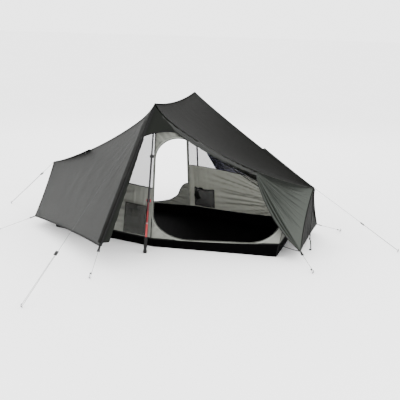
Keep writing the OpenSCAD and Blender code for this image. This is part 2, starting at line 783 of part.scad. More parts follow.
color(cord_grey) cord(looped(cord_start(4), peg_door, knot_share, 2 * bend_r));  // guy_door_front
color(cord_grey) cord(looped(cord_start(5), turned(peg_door), knot_share, 2 * bend_r));  // guy_door_rear
runner(guy_front_start, peg_peak, share_peak);  // runner_peak_front
half_turn(-1) runner(guy_front_start, peg_peak, share_peak);  // runner_peak_rear
runner(guy_left_start, peg_end_left, share_left);  // runner_end_left
runner(guy_end_start, peg_end_right, share_right);  // runner_end_right
for (p = [peg_peak, turned(peg_peak), peg_end_left, peg_end_right, peg_corner_fl,  // pegs
      peg_corner_fr, peg_corner_rl, peg_corner_rr, peg_door, turned(peg_door)]) peg(p);
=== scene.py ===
# A two-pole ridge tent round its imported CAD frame: camera, light, cords, flysheet, inner tent and hardware.
import json
import math

import bpy
import numpy as np
from mathutils import Matrix, Vector


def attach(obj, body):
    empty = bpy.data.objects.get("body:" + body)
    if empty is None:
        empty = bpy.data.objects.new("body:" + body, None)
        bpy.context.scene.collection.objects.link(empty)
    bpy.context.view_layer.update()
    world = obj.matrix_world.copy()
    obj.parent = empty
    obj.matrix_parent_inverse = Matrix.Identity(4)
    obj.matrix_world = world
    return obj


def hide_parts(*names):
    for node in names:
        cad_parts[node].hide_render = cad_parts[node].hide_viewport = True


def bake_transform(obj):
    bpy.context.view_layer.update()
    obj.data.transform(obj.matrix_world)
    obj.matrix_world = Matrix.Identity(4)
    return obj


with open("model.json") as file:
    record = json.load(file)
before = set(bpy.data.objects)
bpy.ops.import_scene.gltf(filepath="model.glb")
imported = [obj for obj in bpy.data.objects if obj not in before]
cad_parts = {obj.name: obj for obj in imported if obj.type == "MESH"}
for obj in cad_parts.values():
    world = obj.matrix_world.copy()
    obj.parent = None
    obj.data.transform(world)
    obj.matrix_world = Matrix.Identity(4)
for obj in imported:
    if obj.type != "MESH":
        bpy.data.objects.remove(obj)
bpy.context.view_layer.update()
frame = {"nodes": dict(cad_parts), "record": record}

TENT = "tent"
TAU = 2 * math.pi
SIDES = ("front", "rear")


# ---------- the tent's own measures, in metres ----------

def point(x, y, z):
    return np.array((x, y, z), float)


def turned(p):
    """Half a turn about Z: the rear of the tent repeats its front."""
    return np.asarray(p, float) * (-1, -1, 1)


PEAK = point(0, -0.468, 1.2)
REAR_PEAK = turned(PEAK)
APEX_FRONT = point(1.235, -0.014, 0.52)  # the front side of the right apex
APEX_REAR = point(1.235, 0.014, 0.52)
APEX_TIP = point(1.237, 0, 0.524)  # where the end guyline's webbing leaves the right apex
APEX_WEB = 0.032
HEM_RIGHT = point(1.225, -0.385, 0.09)
HEM_LEFT = point(-1.225, -0.385, 0.09)
DOOR_FOOT = point(-0.175, -1.12, 0.185)
# how far each ridge drops at the peak and sags along its length
OPEN_DROP = (0.060, 0.095)
CLOSED_DROP = (0.052, 0.062)
FAR_DROP = (0.006, 0.020)
RIDGE_SAG = 0.037  # how far the line between the peaks sags
TIE_AT = 0.635  # where the rolled door is tied, as a share of its ridge from the peak
ROLL_AT = 0.13  # where the door's top piece ends, in the same way
ROLL_R = 0.021
CLOTH_T = 0.0007

# the inner tent: half its floor's length, and half its width at the middle and at the ends
FLOOR_X = 1.025
FLOOR_MID_Y = 0.508
FLOOR_END_Y = 0.355
TUB_FLARE = 0.020  # how far the floor's low walls lean out, and their height at the middle and at the ends
TUB_MID_H = 0.078
TUB_END_H = 0.120
WALL_X = 1.048  # half the length of the walls, which follow a line from peak to apex
INNER_PEAK = point(0, 0.418, 1.12)
INNER_APEX = point(1.078, 0.012, 0.402)
INNER_SAG = 0.050
SEAM_H = 0.5  # height of the seam under the mesh window
DOOR_SHIFT = {"front": 0.0, "rear": 0.062}  # how far the inner door's upright edge stands from the middle
MESH_EDGE = 0.012  # half the strip between the mesh window and the door
RIM_SECTION = (0.006, 0.011)  # width and thickness of the tape on the floor's rim, and of a bound edge
BINDING = (0.009, 0.003)

CORD_D = 0.0026
BEND_R = 0.0056  # radius of a cord's turn round its peg
STRAND_GAP = 0.006  # between a guyline and its return strand, at the runner
EYE_H = 0.012  # height above the ground at which a cord goes round its peg
PEG_LEAN = math.radians(28)
WEB_LEN = 0.034
WEB_W = 0.015
KNOT_SHARE = 0.86  # where a short cord's knot is, as a share of the way to its peg
# where the pegs enter the ground; the rest are these, turned
PEGS = {
    "peak": point(-0.325, -1.935, 0), "end_left": point(-1.84, 0.13, 0), "end_right": point(1.95, 0.155, 0),
    "front_left": point(-1.44, -0.70, 0), "front_right": point(1.365, -0.60, 0),
    "rear_left": point(-1.365, 0.60, 0), "rear_right": point(1.42, 0.525, 0), "door": point(-0.15, -1.33, 0),
}


# ---------- curves and surfaces ----------

def mix(a, b, t):
    """Points on the straight line from a to b."""
    t = np.asarray(t, float)[..., None]
    return np.asarray(a) * (1 - t) + np.asarray(b) * t


def bow(a, b, sag, t):
    """The same line with its middle moved by sag."""
    t = np.asarray(t, float)
    return mix(a, b, t) + (4 * t * (1 - t))[..., None] * np.asarray(sag, float)


def ridge(a, b, drop, t):
    """Edge of the flysheet from a peak to an apex: it drops just past the peak and sags between."""
    t = np.asarray(t, float)
    fall = drop[0] * (1 - t) * (1 - (1 - t) ** 20) + 4 * t * (1 - t) * drop[1]
    return shift(mix(a, b, t), -fall, (0, 0, 1))


def coons(c0, c1, d0, d1, u, v):
    """Smooth surface inside four edges: c0 and c1 run along u, d0 and d1 along v."""
    zero, one = np.zeros_like(u), np.ones_like(u)
    flat = mix_at(mix_at(c0(zero), c0(one), u), mix_at(c1(zero), c1(one), u), v)
    return mix_at(c0(u), c1(u), v) + mix_at(d0(v), d1(v), u) - flat


def mix_at(a, b, t):
    """Mixes two grids of points, each point by its own share."""
    return a * (1 - t[..., None]) + b * t[..., None]


def grid(nu, nv):
    return np.meshgrid(np.linspace(0, 1, nu + 1), np.linspace(0, 1, nv + 1), indexing="ij")


def unit(v):
    return v / np.maximum(np.linalg.norm(v, axis=-1, keepdims=True), 1e-12)


def normals(g):
    return unit(np.cross(np.gradient(g, axis=0), np.gradient(g, axis=1)))


def push(g, height, towards):
    """Moves a surface along its own normal, the one that points towards the given direction."""
    n = normals(g)
    n = n * np.sign((n @ np.asarray(towards, float)).mean())
    return g + n * height[..., None]


def shift(g, height, direction):
    """Moves each point of a surface by its own height along one direction."""
    return g + np.asarray(height)[..., None] * np.asarray(direction, float)


def arch(t):
    """Nought where t is 0 or 1, and one halfway."""
    return np.sin(np.pi * t)


def ramp(x, low, high):
    t = np.clip((x - low) / (high - low), 0, 1)
    return t * t * (3 - 2 * t)


def waves(x, seed, count=5, low=1.0, high=7.0):
    """Smooth uneven wave of about unit height, the same on every run."""
    rng = np.random.RandomState(seed)
    total = 0
    for k in np.linspace(low, high, count):
        total = total + rng.uniform(0.5, 1) * np.sin(TAU * (k * x + rng.uniform()))
    return total / math.sqrt(count)


def creases(x, y, seed, count=9, sharp=3.0):
    """Long soft creases that cross a surface at slightly different angles."""
    rng = np.random.RandomState(seed)
    total = 0
    for _ in range(count):
        a, k, s = rng.uniform(-0.5, 0.5), rng.uniform(2, 6), rng.uniform()
        wave = np.sin(TAU * (k * (x * math.cos(a) + y * math.sin(a)) + s))
        total = total + rng.uniform(0.3, 1) * (1 - np.abs(wave)) ** sharp
    return total / count


def slope(height, axis, gain, most=0.7):
    """How dark a crease's shaded side is, from the height's change along a grid axis."""
    change = np.gradient(height, axis=axis)
    return np.clip(gain * change / max(np.abs(change).max(), 1e-9), 0, most)


def ridge_line(t):
    return bow(PEAK, REAR_PEAK, (0, 0, -RIDGE_SAG), t)


def open_ridge(t):
    return ridge(PEAK, APEX_FRONT, OPEN_DROP, t)


def zip_line(t):
    return mix(PEAK, DOOR_FOOT, t)


LEFT_FRONT = turned(APEX_REAR)


def closed_surface(drop, u, v):
    return coons(
        lambda t: ridge(PEAK, LEFT_FRONT, drop, t),
        lambda t: bow(DOOR_FOOT, HEM_LEFT, (0, 0.012, 0.010), t),
        zip_line,
        lambda t: bow(LEFT_FRONT, HEM_LEFT, (0.009, 0, 0), t), u, v)


# ---------- building pieces ----------

def link(name, data):
    obj = bpy.data.objects.new(name, data)
    bpy.context.scene.collection.objects.link(obj)
    return obj


def settle(obj, mat, stands_for=()):
    """Material and the CAD nodes that a piece of the tent's own body stands for; it joins the tent's body."""
    obj.data.materials.append(mat)
    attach(obj, TENT)
    if stands_for:
        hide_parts(*stands_for)
    return obj


def mesh_object(name, verts, faces, uvs=None):
    mesh = bpy.data.meshes.new(name)
    mesh.from_pydata([tuple(p) for p in np.asarray(verts, float)], [], [tuple(f) for f in faces])
    if uvs is not None:
        layer = mesh.uv_layers.new(name="cloth")
        index = np.zeros(len(mesh.loops), np.int32)
        mesh.loops.foreach_get("vertex_index", index)
        layer.data.foreach_set("uv", np.asarray(uvs, np.float32)[index].ravel())
    mesh.polygons.foreach_set("use_smooth", [True] * len(mesh.polygons))
    mesh.update()
    return link(name, mesh)


def lengths(g, axis):
    """Distance along the cloth from its edge, in metres."""
    step = np.linalg.norm(np.diff(g, axis=axis), axis=-1)
    shape = list(g.shape[:2])
    shape[axis] = 1
    return np.concatenate([np.zeros(shape), np.cumsum(step, axis=axis)], axis=axis)


def cloth(name, g, thick=CLOTH_T, round_u=False, fold=None):
    """A cloth on a grid of points. round_u joins its first row to its last, and fold is painted shade: the
    share by which each point's colour darkens.
    """
    n, m = g.shape[:2]
    uv = np.stack([lengths(g, 0), lengths(g, 1)], -1).reshape(-1, 2)
    rows = n if round_u else n - 1
    faces = [(i * m + j, ((i + 1) % n) * m + j, ((i + 1) % n) * m + j + 1, i * m + j + 1)
             for i in range(rows) for j in range(m - 1)]
    obj = mesh_object(name, g.reshape(-1, 3), faces, uv)
    # the fold attribute carries painted shade for the ripstop material
    if fold is not None:
        layer = obj.data.attributes.new("fold", "FLOAT", "POINT")
        layer.data.foreach_set("value", np.asarray(fold, np.float32).ravel())
    if thick:
        solid = obj.modifiers.new("thickness", "SOLIDIFY")
        solid.thickness = thick
        solid.offset = 0
    return obj


def frames(path, up):
    """Sideways and upward unit vectors along a path."""
    along = unit(np.gradient(path, axis=0))
    up = np.broadcast_to(np.asarray(up, float), path.shape)
    side = unit(np.cross(along, up))
    return side, unit(np.cross(side, along))


def travelled(path):
    """Distance along a path at each of its points."""
    return np.concatenate([[0], np.cumsum(np.linalg.norm(np.diff(path, axis=0), axis=1))])


def measured(path):
    return float(travelled(path)[-1])


def swept(name, path, section, up=(0, 0, 1)):
    """A closed section, as (sideways, upward) pairs in metres, swept along a path, with flat ends."""
    path, section = np.asarray(path, float), np.asarray(section, float)
    side, lift = frames(path, up)
    k = len(section)
    g = path[:, None] + section[None, :, :1] * side[:, None] + section[None, :, 1:] * lift[:, None]
    faces = [(i * k + j, i * k + (j + 1) % k, (i + 1) * k + (j + 1) % k, (i + 1) * k + j)
             for i in range(len(path) - 1) for j in range(k)]
    faces.append(tuple(range(k))[::-1])
    faces.append(tuple((len(path) - 1) * k + j for j in range(k)))
    uv = np.stack(np.broadcast_arrays(travelled(path)[:, None], travelled(section)[None, :]), -1)
    return mesh_object(name, g.reshape(-1, 3), faces, uv.reshape(-1, 2))


def oval(width, height, sides=12, power=2.0):
    """Section of a tube, or with a higher power of a strap with rounded edges."""
    a = np.arange(sides) * TAU / sides
    c, s = np.cos(a), np.sin(a)
    return np.stack([np.sign(c) * np.abs(c) ** (2 / power) * width / 2,
                     np.sign(s) * np.abs(s) ** (2 / power) * height / 2], -1)


def strap(name, path, width, thick=0.0014, up=(0, 0, 1)):
    return swept(name, path, oval(width, thick, 16, 5), up)


def trim(name, path, width, thick, up=(0, 0, 1), sides=10, power=2.0, stands_for=()):
    """Black tape, binding, piping or zip along a path on the cloth."""
    section = oval(width, thick, sides, power)
    return settle(swept(name, path, section, up), TAPE, stands_for=stands_for)


# ---------- materials ----------

def shader(name):
    mat = bpy.data.materials.new(name)
    mat.use_nodes = True
    return mat, mat.node_tree, mat.node_tree.nodes["Principled BSDF"]


def add(tree, kind, **settings):
    """A node with its settings: lower-case names are the node's own, the rest its sockets."""
    node = tree.nodes.new(kind)
    for key, value in settings.items():
        if key.islower():
            setattr(node, key, value)
        else:
            node.inputs[key.replace("_", " ")].default_value = value
    return node


def coordinates(tree, kind="UV", scale=(1, 1, 1), turn=0.0):
    """Cloth coordinates in metres (UV) or the row frame's (Object)."""
    source = add(tree, "ShaderNodeTexCoord")
    mapping = add(tree, "ShaderNodeMapping", Scale=scale, Rotation=(0, 0, turn))
    tree.links.new(source.outputs[kind], mapping.inputs["Vector"])
    return mapping.outputs["Vector"]


def threads(tree, vector, period, direction, sharp=False):
    """Lines that repeat every period metres."""
    wave = add(tree, "ShaderNodeTexWave", wave_type="BANDS", bands_direction=direction,
               Scale=TAU / 20 / period, Distortion=0.0)
    tree.links.new(vector, wave.inputs["Vector"])
    if not sharp:
        return wave.outputs["Fac"]
    power = add(tree, "ShaderNodeMath", operation="POWER")
    power.inputs[1].default_value = 14
    tree.links.new(wave.outputs["Fac"], power.inputs[0])
    return power.outputs[0]


def combine(tree, operation, a, b):
    node = add(tree, "ShaderNodeMath", operation=operation)
    for socket, value in zip(node.inputs, (a, b)):
        if isinstance(value, (int, float)):
            socket.default_value = value
        else:
            tree.links.new(value, socket)
    return node.outputs[0]


def times(tree, a, b):
    return combine(tree, "MULTIPLY", a, b)


def plus(tree, a, b):
    return combine(tree, "ADD", a, b)


def noise(tree, vector, scale, detail=4.0):
    node = add(tree, "ShaderNodeTexNoise", Scale=scale, Detail=detail)
    tree.links.new(vector, node.inputs["Vector"])
    return node.outputs["Fac"]


def colours(tree, factor, *stops, blend="LINEAR"):
    """A colour ramp with (place, colour) stops."""
    node = add(tree, "ShaderNodeValToRGB")
    node.color_ramp.interpolation = blend
    elements = node.color_ramp.elements
    while len(elements) < len(stops):
        elements.new(0.5)
    for element, (place, colour) in zip(elements, stops):
        element.position = place
        element.color = (*colour, 1)
    tree.links.new(factor, node.inputs["Fac"])
    return node.outputs["Color"]


def dress(tree, bsdf, colour, height, depth, strength, **sockets):
    """Gives a shader its colour and its bump, and its other sockets their values."""
    tree.links.new(colour, bsdf.inputs["Base Color"])
    relief = add(tree, "ShaderNodeBump", Strength=strength, Distance=depth)
    tree.links.new(height, relief.inputs["Height"])
    tree.links.new(relief.outputs["Normal"], bsdf.inputs["Normal"])
    for socket, value in sockets.items():
        bsdf.inputs[socket.replace("_", " ")].default_value = value


def shaded(colour, by):
    return tuple(c * by for c in colour)


def ripstop(name, colour, rough=0.55, square=0.005, gloss=0.22):
    """Thin coated nylon with a grid of thicker threads and slight crinkles. Its fold value is painted shade
    that darkens it.
    """
    mat, tree, bsdf = shader(name)
    vector = coordinates(tree)
    lines = combine(tree, "MAXIMUM", threads(tree, vector, square, "X", True),
                    threads(tree, vector, square, "Y", True))
    weave = times(tree, threads(tree, vector, 0.0011, "X"), threads(tree, vector, 0.0011, "Y"))
    crinkle = noise(tree, vector, 28.0, 5.0)
    cloud = noise(tree, coordinates(tree, "Object"), 2.2, 3.0)
    tone = combine(tree, "SUBTRACT", plus(tree, cloud, times(tree, crinkle, 0.35)), times(tree, lines, 0.22))
    dyed = colours(tree, tone, (0.3, shaded(colour, 0.88)), (0.95, shaded(colour, 1.1)))
    # painted shade: the dyed colour is scaled by one minus the cloth's fold value
    crease = add(tree, "ShaderNodeAttribute", attribute_name="fold")
    lit = add(tree, "ShaderNodeVectorMath", operation="SCALE")
    tree.links.new(dyed, lit.inputs[0])
    tree.links.new(combine(tree, "SUBTRACT", 1.0, crease.outputs["Fac"]), lit.inputs["Scale"])
    relief = plus(tree, times(tree, weave, 0.2), times(tree, crinkle, 2.2))
    height = plus(tree, times(tree, lines, 0.5), relief)
    dress(tree, bsdf, lit.outputs[0], height, 0.0012, 0.5, Roughness=rough, Specular_IOR_Level=gloss)
    return mat


def netting(name, colour, alpha):
    """Insect mesh: a thin see-through net of fine holes."""
    mat, tree, bsdf = shader(name)
    cells = add(tree, "ShaderNodeTexVoronoi", Scale=900.0)
    tree.links.new(coordinates(tree), cells.inputs["Vector"])
    wires = cells.outputs["Distance"]
    tone = colours(tree, wires, (0.1, shaded(colour, 0.8)), (0.6, shaded(colour, 1.2)))
    dress(tree, bsdf, tone, wires, 0.0003, 0.4, Roughness=0.8, Alpha=alpha)
    return mat


def woven(name, colour, rib=0.0016):
    """Webbing, zip tape or braid, with ribs across its length."""
    mat, tree, bsdf = shader(name)
    vector = coordinates(tree)
    ribs = threads(tree, vector, rib, "X")
    slant = threads(tree, coordinates(tree, turn=0.7), rib * 1.6, "X")
    grain = noise(tree, vector, 300.0)
    mixed = plus(tree, times(tree, ribs, 0.6), times(tree, slant, 0.4))
    tone = colours(tree, times(tree, mixed, grain), (0.1, shaded(colour, 0.6)), (0.5, shaded(colour, 1.25)))
    dress(tree, bsdf, tone, mixed, 0.0005, 0.7, Roughness=0.7, Specular_IOR_Level=0.15)
    return mat


def braid(name, colour):
    """Round cord: a diagonal braid with a lighter tracer."""
    mat, tree, bsdf = shader(name)
    vector = coordinates(tree, "Object")
    plait = threads(tree, vector, 0.0034, "DIAGONAL")
    tracer = threads(tree, vector, 0.019, "Z", True)
    mixed = plus(tree, times(tree, plait, 0.6), times(tree, tracer, 0.5))
    tone = colours(tree, mixed, (0.1, shaded(colour, 0.7)), (0.9, shaded(colour, 1.25)))
    dress(tree, bsdf, tone, plait, 0.0006, 0.6, Roughness=0.65)
    return mat


def moulded(name, colour, rough=0.42, grain=220.0):
    """Moulded plastic with a fine spark-eroded texture."""
    mat, tree, bsdf = shader(name)
    vector = coordinates(tree, "Object")
    speck = noise(tree, vector, grain, 6.0)
    wear = noise(tree, vector, 35.0, 3.0)
    tone = colours(tree, wear, (0.35, shaded(colour, 0.85)), (0.75, shaded(colour, 1.3)))
    dress(tree, bsdf, tone, speck, 0.0003, 0.5, Roughness=rough, Specular_IOR_Level=0.25)
    return mat


def tube_metal(name, colour, rough=0.3, bands=()):
    """Anodised tube, faintly drawn along its length. bands are (height, colour) stops, instead of colour."""
    mat, tree, bsdf = shader(name)
    drawn = noise(tree, coordinates(tree, "Object", scale=(1, 1, 0.03)), 900.0, 3.0)
    if bands:
        place = add(tree, "ShaderNodeSeparateXYZ")
        tree.links.new(coordinates(tree, "Object"), place.inputs[0])
        tone = colours(tree, place.outputs["Z"], *bands, blend="CONSTANT")
    else:
        tone = colours(tree, drawn, (0.3, shaded(colour, 0.85)), (0.7, shaded(colour, 1.15)))
    dress(tree, bsdf, tone, drawn, 0.0002, 0.3, Metallic=0.75, Roughness=rough, Coat_Weight=0.2)
    return mat


FLY_DARK = ripstop("fly_dark", (0.0042, 0.0043, 0.0038), rough=0.65, gloss=0.035)
FLY_GREY = ripstop("fly_grey", (0.0205, 0.0209, 0.0199), rough=0.55, gloss=0.10)
FLY_GREEN = ripstop("fly_green", (0.0360, 0.0400, 0.0350), rough=0.55, gloss=0.12)
# the rolled door's cloth, painted much darker than the door's own cloth as painted shade of its wound layers
FLY_ROLL_SHADE = ripstop("fly_roll_shade", (0.0080, 0.0090, 0.0075), rough=0.42, gloss=0.25)
FLY_SHADE = ripstop("fly_shade", (0.0058, 0.0066, 0.0054), rough=0.6, gloss=0.05)
INNER = ripstop("inner_cloth", (0.160, 0.165, 0.146), rough=0.75, square=0.004, gloss=0.1)
INNER_LIT = ripstop("inner_cloth_lit", (0.31, 0.315, 0.275), rough=0.75, square=0.004, gloss=0.1)
INNER_PALE = ripstop("inner_cloth_pale", (0.175, 0.183, 0.162), rough=0.75, square=0.004, gloss=0.1)
FLOOR_BLACK = ripstop("floor_black", (0.0006, 0.0006, 0.0007), rough=0.7, square=0.004, gloss=0.01)
NET = netting("mesh", (0.020, 0.020, 0.042), 0.42)
NET_CLEAR = netting("clear_mesh", (0.02, 0.02, 0.02), 0.14)
# dark see-through sheet for the front pocket: painted shadow on the outside of the wall
NET_POCKET_SHADOW = netting("pocket_shadow_mesh", (0.010, 0.010, 0.0095), 0.42)
# near-opaque black mesh for the vent's slit: partly the real mesh, partly painted shade under the hood
NET_VENT_SHADE = netting("vent_mesh_shade", (0.0015, 0.0015, 0.0015), 0.92)
NET_DARK = netting("pocket_mesh", (0.060, 0.060, 0.058), 0.72)
TAPE = woven("black_trim", (0.002, 0.002, 0.002))
TAPE_GREY = woven("grey_trim", (0.012, 0.013, 0.012))
WEBBING = woven("webbing", (0.003, 0.003, 0.003), rib=0.0024)
CORD = braid("guy_cord", (0.020, 0.020, 0.0195))
BLACK = moulded("black_plastic", (0.003, 0.003, 0.0033))
STRUT = tube_metal("strut", (0.006, 0.006, 0.006), 0.5)
FOAM = moulded("grip", (0.004, 0.004, 0.004), 0.85, 700.0)
RED = (0.20, 0.012, 0.015)
POLE_BANDS = ((0.0, (0.26, 0.017, 0.020)), (0.240, (0.20, 0.17, 0.165)), (0.247, shaded(RED, 0.62)),
              (0.34, (0.055, 0.007, 0.010)))
POLE_RED = tube_metal("pole_red", RED, 0.33, POLE_BANDS)
POLE_BLACK = tube_metal("pole_black", (0.006, 0.006, 0.007), 0.35)
LOCK_RED = moulded("lock_red", (0.30, 0.012, 0.035), 0.35)
PEG_METAL = tube_metal("peg_metal", (0.22, 0.225, 0.235), 0.3)


# ---------- camera, light and floor ----------

def turned_camera(location, target, roll, lens):
    """A camera at location that looks at target, tilted sideways by roll radians."""
    forward = (Vector(target) - Vector(location)).normalized()
    right = forward.cross(Vector((0, 0, 1))).normalized()
    up = right.cross(forward)
    right, up = right * math.cos(roll) + up * math.sin(roll), up * math.cos(roll) - right * math.sin(roll)
    data = bpy.data.cameras.new("camera")
    data.lens = lens
    data.sensor_width = 36
    data.clip_end = 100
    cam = link("camera", data)
    cam.matrix_world = Matrix.Translation(location) @ Matrix((right, up, -forward)).transposed().to_4x4()
    bpy.context.scene.camera = cam


def area_light(name, location, target, size, power):
    data = bpy.data.lights.new(name, "AREA")
    data.size = size
    data.energy = power
    light = link(name, data)
    light.location = location
    light.rotation_euler = (Vector(target) - Vector(location)).to_track_quat("-Z", "Y").to_euler()


def stage():
    turned_camera((2.069, -5.311, 1.869), (0.235, 0, 0.304), 0.021, 58.92)
    area_light("key", (-3.4, -5.0, 2.2), (-0.3, -0.3, 0.3), 3.0, 170)
    area_light("fill", (4.5, -3.5, 2.0), (0.3, 0, 0.4), 3.5, 110)
    area_light("back", (-1.0, 4.5, 4.0), (0, 0, 0.4), 4.0, 160)
    world = bpy.data.worlds.new("studio")
    world.use_nodes = True
    world.node_tree.nodes["Background"].inputs["Color"].default_value = (1, 1, 1, 1)
    world.node_tree.nodes["Background"].inputs["Strength"].default_value = 3.4
    bpy.context.scene.world = world
    half, below = 60.0, -0.0012
    corners = [(-half, -half, below), (half, -half, below), (half, half, below), (-half, half, below)]
    floor = mesh_object("floor", corners, [(0, 1, 2, 3)])
    mat, tree, bsdf = shader("floor")
    tone = noise(tree, coordinates(tree, "Object"), 0.6, 2.0)
    pale = colours(tree, tone, (0.3, (0.93, 0.93, 0.93)), (0.7, (0.95, 0.95, 0.95)))
    tree.links.new(pale, bsdf.inputs["Base Color"])
    bsdf.inputs["Roughness"].default_value = 0.9
    floor.data.materials.append(mat)


# ---------- guylines ----------

def toward(a, b, distance):
    return a + distance * unit(b - a)


def eye(peg):
    """Centre of a peg's shaft where its cord goes round it."""
    out = unit(peg * (1, 1, 0))
    return peg + EYE_H * (out * math.tan(PEG_LEAN) + point(0, 0, 1))


def strands(start, peg, share, gap=STRAND_GAP):
    """The cord to a peg, its half turn round the peg, and its return strand."""
    side = unit(np.cross(eye(peg) - start, point(0, 0, 1)))
    near = eye(peg) - BEND_R * side
    ahead = unit(near - start)
    main = [mix(start, near, t) for t in np.linspace(0, 1, 11)]
    turn = [eye(peg) + BEND_R * (math.cos(a) * ahead + math.sin(a) * side)
            for a in np.radians(np.linspace(-75, 75, 17))]
    back = [mix(near + 2 * BEND_R * side, mix(start, near, share) + gap * side, t)
            for t in np.linspace(0, 1, 10)]
    return main, turn, back


def cord_curve(name, path):
    data = bpy.data.curves.new(name, "CURVE")
    data.dimensions = "3D"
    data.bevel_depth = CORD_D / 2
    data.bevel_resolution = 3
    data.use_fill_caps = True
    spline = data.splines.new("POLY")
    spline.points.add(len(path) - 1)
    for p, q in zip(spline.points, path):
        p.co = (*q, 1)
    return link(name, data)


def knot(name, centre, along):
    """A small hitch: a cord wound three times round the strands."""
    size, length = 0.0042, 0.009
    side = unit(np.cross(along, point(0, 0, 1)))
    lift = np.cross(side, along)
    a = np.linspace(0, 3 * TAU, 73)
    path = centre + np.outer(np.cos(a) * size * 1.7, side) + np.outer(np.sin(a) * size, lift) \
        + np.outer((a / (3 * TAU) - 0.5) * length, along)
    return swept(name, path, oval(CORD_D, CORD_D, 8), up=along)


def long_guy(name, start, peg, share, on_rear=False):
    """A guyline with a runner: the cord itself, and the return strand that follows the runner."""
    main, turn, back = strands(start, peg, share)
    if on_rear:
        main, turn, back = (list(turned(p)) for p in (main, turn, back))
    back[0], tail = back[0] * 0.92 + back[-1] * 0.08, back[0]
    path = [*main, *turn, tail, back[0]]
    line = settle(cord_curve(name + "_cord", path), CORD, stands_for=[name])
    strand = swept(name + "_return", back, oval(CORD_D, CORD_D, 10))
    strand.data.materials.append(CORD)
    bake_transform(strand)


def short_guy(name, start, peg):
    """A cord tied in a loop round a peg."""
    main, turn, back = strands(start, peg, KNOT_SHARE, 2 * BEND_R)
    ahead = unit(main[-1] - main[0])
    last = mix(main[0], main[-1], KNOT_SHARE - 0.03)
    path = [*main, *turn, *back, last]
    line = settle(cord_curve(name + "_cord", path), CORD, stands_for=[name])
    hitch = settle(knot(name + "_knot", (last + back[-1]) / 2, ahead), CORD)


def guylines():
    peak_start = PEAK + point(0, -0.014, -0.008)
    right_start = toward(APEX_TIP, PEGS["end_right"], APEX_WEB)
    left_start = toward(turned(APEX_TIP), PEGS["end_left"], APEX_WEB)
    long_guy("guy_peak_front", peak_start, PEGS["peak"], 0.773)
    long_guy("guy_peak_rear", peak_start, PEGS["peak"], 0.773, True)
    long_guy("guy_end_left", left_start, PEGS["end_left"], 0.26)
    long_guy("guy_end_right", right_start, PEGS["end_right"], 0.555)
    for name, corner, peg in HEM_TIES:
        short_guy(name, toward(corner, peg, WEB_LEN + 0.020), peg)


HEM_TIES = [
    ("guy_corner_front_right", HEM_RIGHT, PEGS["front_right"]),
    ("guy_corner_front_left", HEM_LEFT, PEGS["front_left"]),
    ("guy_corner_rear_right", turned(HEM_LEFT), PEGS["rear_right"]),
    ("guy_corner_rear_left", turned(HEM_RIGHT), PEGS["rear_left"]),
    ("guy_door_front", DOOR_FOOT, PEGS["door"]),
    ("guy_door_rear", turned(DOOR_FOOT), turned(PEGS["door"])),
]

# ---------- flysheet ----------

def at(side, p):
    """The front's points as they are, and turned where they are for the rear."""
    return turned(p) if side == "rear" else np.asarray(p, float)


def hem(name, path, width=0.012, mat=None, up=(0, 0, 1)):
    """Bound edge or felled seam along a path on the cloth."""
    return settle(swept(name, path, oval(width, 0.0028, 12, 3), up), mat or TAPE)


def roof(name, front, rear, end):
    """Roof panel between two ridges, slightly hollow, with creases that run from the apex and the peaks."""
    u, v = grid(110, 56)
    g = coons(front, rear, ridge_line, end, u, v)
    from_apex = creases(v * 1.2, u * 0.35, 4, 8, 4.0) * ramp(u, 0.35, 0.95) * (1 - ramp(u, 0.97, 1))
    from_peaks = creases(v * 1.6, u * 0.8, 9, 6, 4.0) * (1 - ramp(u, 0.05, 0.4))
    height = arch(v) * (0.010 * from_apex + 0.006 * from_peaks - 0.010 * arch(u))
    obj = settle(cloth(f"roof_{name}", push(g, height, (0, 0, 1))), FLY_DARK,
                 stands_for=[f"fly_roof_{name}"])


def roofs():
    def right_rear(t):
        return ridge(REAR_PEAK, APEX_REAR, FAR_DROP, t)

    def left_front(t):
        return ridge(PEAK, LEFT_FRONT, CLOSED_DROP, t)

    left_rear = turned(APEX_FRONT)
    roof("right", open_ridge, right_rear, lambda t: mix(APEX_FRONT, APEX_REAR, t))
    roof("left", left_front, lambda t: ridge(REAR_PEAK, left_rear, OPEN_DROP, t),
         lambda t: mix(LEFT_FRONT, left_rear, t))
    t = np.linspace(0, 1, 70)
    lift = point(0, 0, 0.0012)
    for name, path, width, mat in (("seam_ridge", ridge_line(t), 0.014, FLY_DARK),
                                   ("seam_roof_rear_right", right_rear(t), 0.012, FLY_DARK),
                                   ("seam_roof_front_left", left_front(t), 0.012, FLY_DARK),
                                   ("edge_roof_front_right", open_ridge(t), 0.016, FLY_SHADE),
                                   ("edge_roof_rear_left", turned(open_ridge(t)), 0.016, FLY_SHADE)):
        hem(name, path + lift, width, mat)


